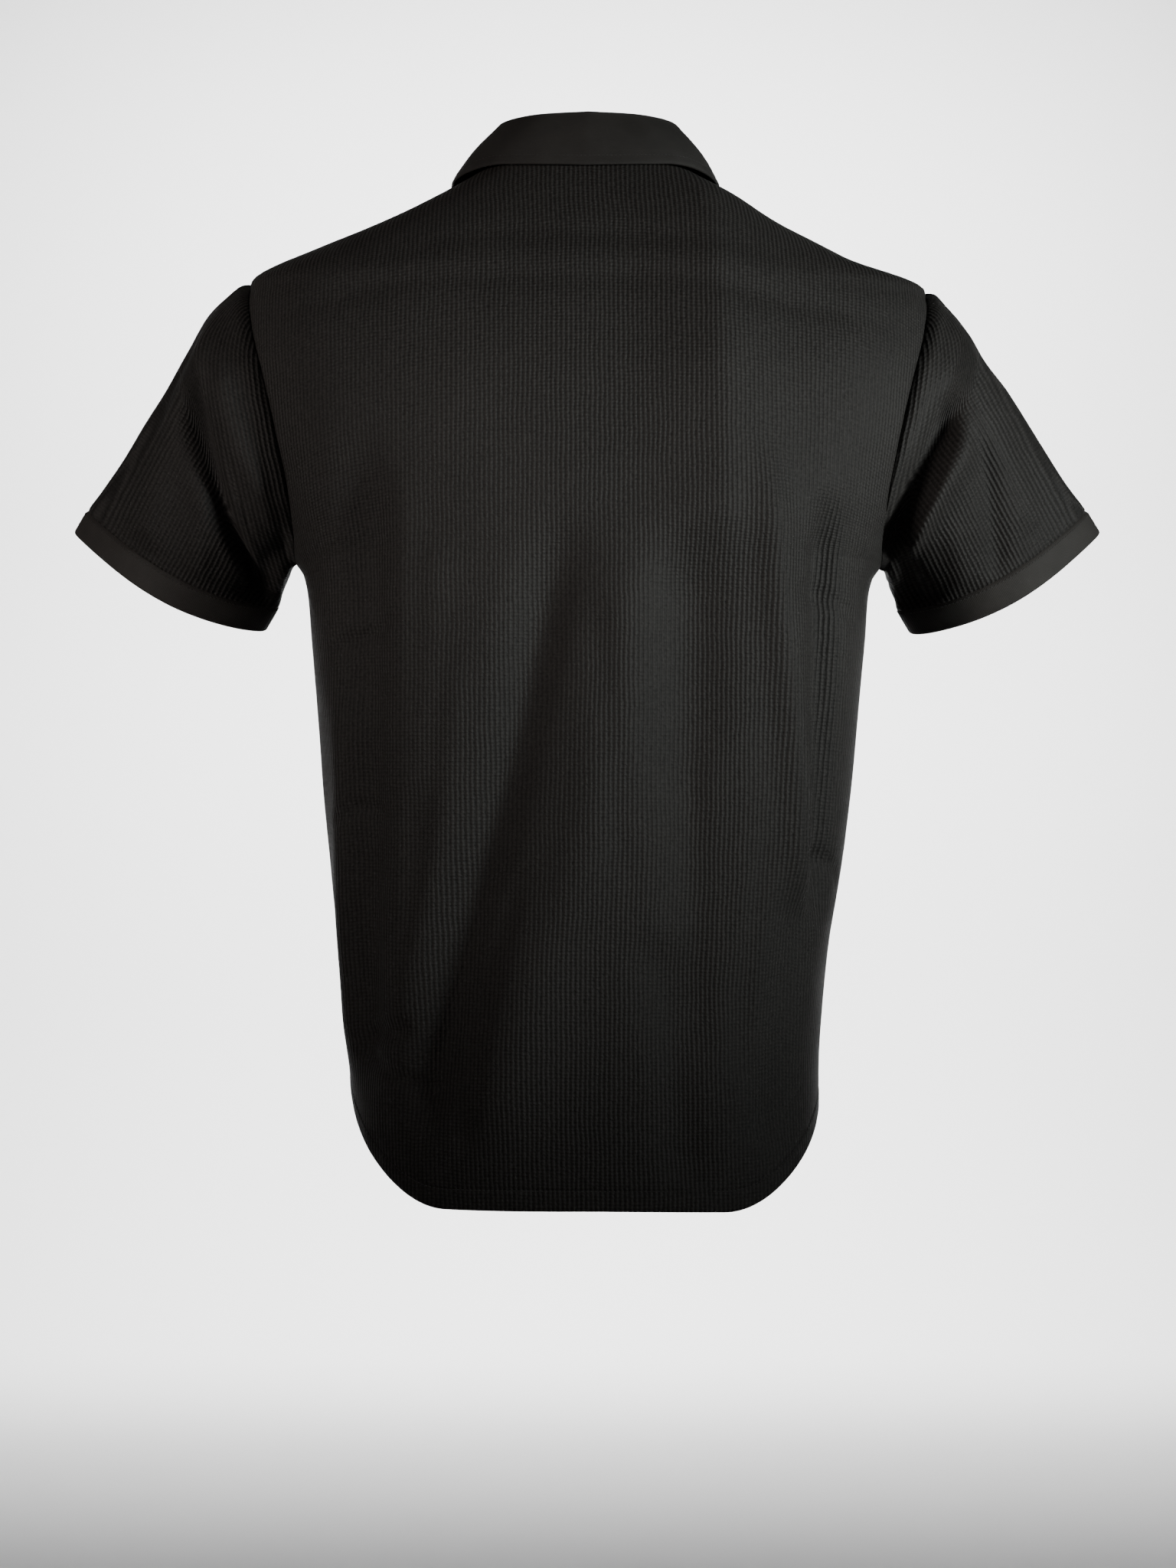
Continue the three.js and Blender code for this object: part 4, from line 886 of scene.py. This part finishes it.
def addButtons():
    blank = buttonBlank()
    made, rows = [], []
    reach = buttons["holeSpacing"] / 2

    def addStrand(start, end, normal):
        rows.append(tuple(np.array([point]) for point in (start, end, normal)))

    for number in (1, 2, 3):
        middle, side, up, facing = buttonPlace(f"button_{number}")
        piece = blank.copy()
        piece.data = blank.data.copy()
        piece.name = f"shirtButton{number}"
        bpy.context.collection.objects.link(piece)
        onlySelected(piece)
        turn = Matrix((side, up, facing)).transposed().to_4x4()
        piece.matrix_world = Matrix.Translation(middle) @ turn
        bpy.ops.object.transform_apply(location=True, rotation=True, scale=True)
        made.append(piece)
        top = middle * 1000 + facing * (buttons["thickness"] / 2 - buttons["dish"] + 0.12)
        for across in (-1, 1):
            for strand in (-0.24, 0, 0.24):
                place = top + side * (across * reach + strand)
                addStrand(place - up * (reach + 0.2), place + up * (reach + 0.2), facing)
        shank = middle * 1000 - facing * (buttons["thickness"] / 2)
        for strand in (-0.5, 0, 0.5):
            place = shank + side * strand
            addStrand(place - facing * 0.9, place + facing * 0.4, up)
    bpy.data.objects.remove(blank)
    return made, addThreads("buttonThread", rows, 0.17)


hemThreads = {piece: hemThread(name, piece, half) for name, piece, half in (
    ("hemThreadBack", backPanel, "back"), ("hemThreadFront", frontPanel, "front"))}
cuffThreads = {side: cuffThread("cuffThreadLeft" if side > 0 else "cuffThreadRight", cuffs[side], side)
               for side in (1, -1)}
collarThreads = collarThread()
placketThreads = [placketThread(), buttonholes()]
shirtButtons, buttonThreads = addButtons()
print("stitches and buttons made")


class Value:
    # a number in a material: + - * ** on it add the Math nodes
    def __init__(self, finish, socket):
        self.finish, self.socket = finish, socket

    def maths(self, operation, *others):
        node = self.finish.nodes.new("ShaderNodeMath")
        node.operation = operation
        for i, value in enumerate((self,) + others):
            self.finish.feed(node.inputs[i], value)
        return Value(self.finish, node.outputs[0])

    def __add__(self, other): return self.maths("ADD", other)
    def __radd__(self, other): return self.maths("ADD", other)
    def __sub__(self, other): return self.maths("SUBTRACT", other)
    def __mul__(self, other): return self.maths("MULTIPLY", other)
    def __pow__(self, other): return self.maths("POWER", other)
    def sine(self): return self.maths("SINE")


class Finish:
    def __init__(self, name, **constants):
        self.material = bpy.data.materials.new(name)
        self.material.use_nodes = True
        self.nodes, self.links = self.material.node_tree.nodes, self.material.node_tree.links
        self.shader = self.nodes["Principled BSDF"]
        for socket, value in constants.items():
            self.shader.inputs[socket.replace("_", " ")].default_value = value

    def feed(self, socket, value):
        if isinstance(value, Value):
            self.links.new(value.socket, socket)
        elif value is not None:
            socket.default_value = value

    def add(self, kind, settings=None, inputs=None, output=0):
        node = self.nodes.new(kind)
        for name, value in (settings or {}).items():
            setattr(node, name, value)
        for name, value in (inputs or {}).items():
            self.feed(node.inputs[name], value)
        return Value(self, node.outputs[output])

    def cut(self):
        # the cloth's own map in metres: across the wales, and up along them
        uv = self.add("ShaderNodeUVMap", {"uv_map": "Cut"})
        return tuple(self.add("ShaderNodeSeparateXYZ", None, {"Vector": uv}, k) for k in ("X", "Y"))

    def noise(self, scale, detail):
        place = self.add("ShaderNodeTexCoord", output="Object")
        return self.add("ShaderNodeTexNoise", None,
                        {"Vector": place, "Scale": scale, "Detail": detail, "Roughness": 0.5}, "Fac")

    def blend(self, factor, first, second):
        return self.add("ShaderNodeMix", {"data_type": "RGBA"}, {0: factor, 6: first, 7: second}, 2)

    def use(self, color=None, roughness=None, height=None, distance=0.0005, strength=1.0):
        self.feed(self.shader.inputs["Base Color"], color)
        self.feed(self.shader.inputs["Roughness"], roughness)
        if height is not None:
            bump = self.add("ShaderNodeBump", None,
                            {"Height": height, "Distance": distance, "Strength": strength})
            self.feed(self.shader.inputs["Normal"], bump)
        return self.material


def rgb(red, green, blue):
    return (red, green, blue, 1.0)


# knit colours: "deep" is painted shade for the hollows of the waffle, "face" the yarn on its raised ribs
waffle = {"rib": 0.0031, "course": 0.0024, "relief": 0.0007, "deep": rgb(0.0032, 0.0029, 0.0027),
          "face": rgb(0.0245, 0.0232, 0.0222)}


def waffleKnit(name):
    finish = Finish(name, Specular_IOR_Level=0.16, Diffuse_Roughness=0.6)
    u, v = finish.cut()
    stray = finish.noise(34, 2) - 0.5
    slow = finish.noise(9, 3)
    pips = finish.noise(560, 2)
    fibre = finish.noise(1500, 3)
    u = u + stray * 0.0024 + (pips - 0.5) * 0.0005
    v = v + stray * 0.0030 + (pips - 0.5) * 0.0014
    rib = (u * (2 * math.pi / waffle["rib"])).sine() * 0.5 + 0.5
    rib = rib ** 1.25
    course = (v * (2 * math.pi / waffle["course"])).sine() * 0.5 + 0.5
    height = rib * 0.66 + (rib * 0.6 + 0.4) * course * 0.3 + (pips - 0.5) * 0.6
    # the colour follows the knit's height, so the hollows get painted shade; fibres, pills and slow swells add
    # random tone of the yarn
    hollowShadeAndTone = height * 0.62 + (fibre - 0.5) * 0.9 + (pips - 0.5) * 0.5 + (slow - 0.5) * 0.4 + 0.14
    color = finish.blend(hollowShadeAndTone, waffle["deep"], waffle["face"])
    return finish.use(color, 0.66 + (fibre - 0.5) * 0.2, height + fibre * 0.3, waffle["relief"], 0.9)


# jersey colours: "deep" is painted shade for the grooves between the wales, "face" the yarn on them
jersey = {"wale": 0.0011, "course": 0.00085, "relief": 0.00022, "deep": rgb(0.0085, 0.0078, 0.0072),
          "face": rgb(0.0235, 0.022, 0.0208)}


def smoothKnit(name, tone):
    finish = Finish(name, Specular_IOR_Level=0.16, Diffuse_Roughness=0.6)
    u, v = finish.cut()
    wale = (u * (2 * math.pi / jersey["wale"])).sine() * 0.5 + 0.5
    lean = (v * (2 * math.pi / jersey["course"]) + wale * 2.4).sine() * 0.5 + 0.5
    fibre = finish.noise(1300, 3)
    slow, mottle = finish.noise(12, 3), finish.noise(60, 3)
    height = wale * 0.6 + lean * 0.4
    # the colour follows the wale and course height, so the grooves get painted shade; fibres, slow swells and
    # mottle add random tone of the yarn
    hollowShadeAndTone = height * 0.4 + 0.28 + (fibre - 0.5) * 0.7 + (slow - 0.5) * 0.5 + (mottle - 0.5) * 0.6
    deep, face = (rgb(*(part * tone for part in jersey[level][:3])) for level in ("deep", "face"))
    color = finish.blend(hollowShadeAndTone, deep, face)
    return finish.use(color, 0.68 + (fibre - 0.5) * 0.2, height + fibre * 0.6, jersey["relief"], 0.7)


def buttonPlastic(name):
    finish = Finish(name, Specular_IOR_Level=0.5)
    cloud = finish.noise(260, 3)
    color = finish.blend(cloud, rgb(0.008, 0.0075, 0.007), rgb(0.019, 0.018, 0.017))
    return finish.use(color, 0.28 + cloud * 0.18, finish.noise(900, 2), 0.00004, 0.4)


def sewingThread(name):
    finish = Finish(name, Specular_IOR_Level=0.3)
    fibre = finish.noise(2600, 2)
    color = finish.blend(fibre, rgb(0.004, 0.0038, 0.0036), rgb(0.016, 0.0152, 0.0145))
    return finish.use(color, 0.5 + fibre * 0.2, fibre, 0.00006, 0.5)


def dress(piece, material):
    piece.data.materials.clear()
    piece.data.materials.append(material)


waffleMaterial = waffleKnit("waffleKnit")
collarMaterial, cuffMaterial = smoothKnit("collarKnit", 0.82), smoothKnit("cuffKnit", 1.3)
buttonMaterial, threadMaterial = buttonPlastic("buttonPlastic"), sewingThread("sewingThread")
panels = {backPanel: "back_panel", frontPanel: "front_panel",
          sleeves[1]: "sleeve_left", sleeves[-1]: "sleeve_right"}
bands = {cuffs[1]: "cuff_left", cuffs[-1]: "cuff_right"}
trims = {collar: "collar", placketUpper: "placket_upper", placketUnder: "placket_under"}
for pieces, material, slotName in ((panels, waffleMaterial, "knit"), (bands, cuffMaterial, "smooth_knit"),
                                   (trims, collarMaterial, "smooth_knit")):
    for piece, node in pieces.items():
        dress(piece, material)
        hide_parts(node)
        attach(piece, "root")
for number, piece in enumerate(shirtButtons):
    dress(piece, buttonMaterial)
    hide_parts(f"button_{number + 1}")
    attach(piece, "root")
allThreads = [*hemThreads.values(), *cuffThreads.values(), collarThreads, *placketThreads, buttonThreads]
for piece in allThreads:
    dress(piece, threadMaterial)
    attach(piece, "root")
print("materials made")

cuts = {  # flat width and length of each cut in metres, and the share of that rectangle it fills
    backPanel: (0.535, 0.735, 0.90), frontPanel: (0.535, 0.70, 0.84),
    sleeves[1]: (0.43, 0.22, 0.57), sleeves[-1]: (0.43, 0.22, 0.57),
    cuffs[1]: (0.36, 0.0175, 1.0), cuffs[-1]: (0.36, 0.0175, 1.0),
    collar: (0.52, 0.085, 0.82), placketUpper: (0.034, 0.17, 1.0), placketUnder: (0.028, 0.16, 1.0),
}
for piece, (width, length, share) in cuts.items():
    width * length * share


# in metres; "wall" is how far the wall stands on the side away from the camera
backdrop = {"width": 18, "depth": 12.4, "shift": 2.0, "floor": -1.25, "wall": -4.2, "height": 6, "bend": 1.4}


def studio():
    # one pale sheet that runs from the floor up behind the shirt
    bpy.ops.object.select_all(action="DESELECT")
    bpy.ops.mesh.primitive_plane_add(size=1, location=(0, 0, 0))
    sweep = bpy.context.object
    sweep.name = "studioSweep"
    bpy.ops.object.mode_set(mode="EDIT")
    bpy.ops.mesh.select_all(action="SELECT")
    bpy.ops.transform.resize(value=(backdrop["width"], backdrop["depth"], 1))
    bpy.ops.transform.translate(value=(0, backdrop["shift"], backdrop["floor"]))
    bpy.ops.object.mode_set(mode="OBJECT")
    for edge in sweep.data.edges:
        edge.select = all(sweep.data.vertices[k].co.y < 0 for k in edge.vertices)
    for vertex in sweep.data.vertices:
        vertex.select = vertex.co.y < 0
    for face in sweep.data.polygons:
        face.select = False
    bpy.ops.object.mode_set(mode="EDIT")
    bpy.ops.mesh.select_mode(type="EDGE")
    bpy.ops.mesh.extrude_region_move(TRANSFORM_OT_translate={"value": (0, 0, backdrop["height"])})
    bpy.ops.object.mode_set(mode="OBJECT")
    for edge in sweep.data.edges:
        edge.select = all(abs(sweep.data.vertices[k].co.y - backdrop["wall"]) < 0.01
                          and sweep.data.vertices[k].co.z < 0 for k in edge.vertices)
    bpy.ops.object.mode_set(mode="EDIT")
    bpy.ops.mesh.bevel(offset=backdrop["bend"], segments=16)
    bpy.ops.object.mode_set(mode="OBJECT")
    bpy.ops.object.shade_smooth()
    pale = Finish("paleSweep", Roughness=0.95)
    pale.use(color=rgb(0.9, 0.9, 0.9))
    dress(sweep, pale.material)
    world = bpy.context.scene.world or bpy.data.worlds.new("studioAir")
    bpy.context.scene.world = world
    world.use_nodes = True
    world.node_tree.nodes["Background"].inputs["Color"].default_value = rgb(1, 1, 1)
    world.node_tree.nodes["Background"].inputs["Strength"].default_value = 0.07


lights = {  # place, target, width, height, beam angle, strength and colour
    "windowRight": ((-2.5, 1.55, -0.16), (0, 0, -0.185), 0.7, 0.3, 24, 3.75, (0.96, 1.0, 0.97)),
    "windowLeft": ((2.25, 1.95, -0.14), (0, 0, -0.15), 0.7, 0.3, 24.5, 1.6, (1.0, 0.9, 0.84)),
    "behindCamera": ((0.15, 3.3, -0.3), (0, 0, -0.24), 1.4, 0.25, 19, 0.2, (1.0, 0.97, 0.95)),
    "frontSoft": ((0.3, -3.6, 0.2), (0, 0, -0.22), 1.2, 0.5, 22, 2.4, (1, 1, 1)),
    "wallWash": ((0, -2.4, 1.7), (0, -4.2, -0.35), 2.6, 0.4, 95, 118, (1, 1, 1)),
    "floorWash": ((0, -2.4, 1.7), (0, -2.7, -1.25), 2.4, 0.4, 55, 24, (1, 1, 1)),
}


def aim(thing, place, target):
    thing.location = place
    thing.rotation_euler = (Vector(target) - Vector(place)).to_track_quat("-Z", "Y").to_euler()


# the picture is "frameHeight" tall at the middle of the shirt; metres, the sensor in millimetres
photoView = {"distance": 2.4, "level": -0.408, "frameHeight": 1.065, "sensor": 36}


def lightsAndCamera():
    for name, (place, target, width, height, beam, power, color) in lights.items():
        lamp = bpy.data.lights.new(name, "AREA")
        lamp.shape, lamp.size, lamp.size_y = "RECTANGLE", width, height
        lamp.spread, lamp.energy, lamp.color = math.radians(beam), power, color
        holder = bpy.data.objects.new(name, lamp)
        bpy.context.collection.objects.link(holder)
        holder.visible_camera = False
        aim(holder, place, target)
    view = bpy.data.cameras.new("photoView")
    view.sensor_fit, view.sensor_height = "VERTICAL", photoView["sensor"]
    view.lens = photoView["sensor"] * photoView["distance"] / photoView["frameHeight"]
    camera = bpy.data.objects.new("photoView", view)
    bpy.context.collection.objects.link(camera)
    aim(camera, (0, photoView["distance"], photoView["level"]), (0, 0, photoView["level"]))
    bpy.context.scene.camera = camera


studio()
lightsAndCamera()
print("studio ready")
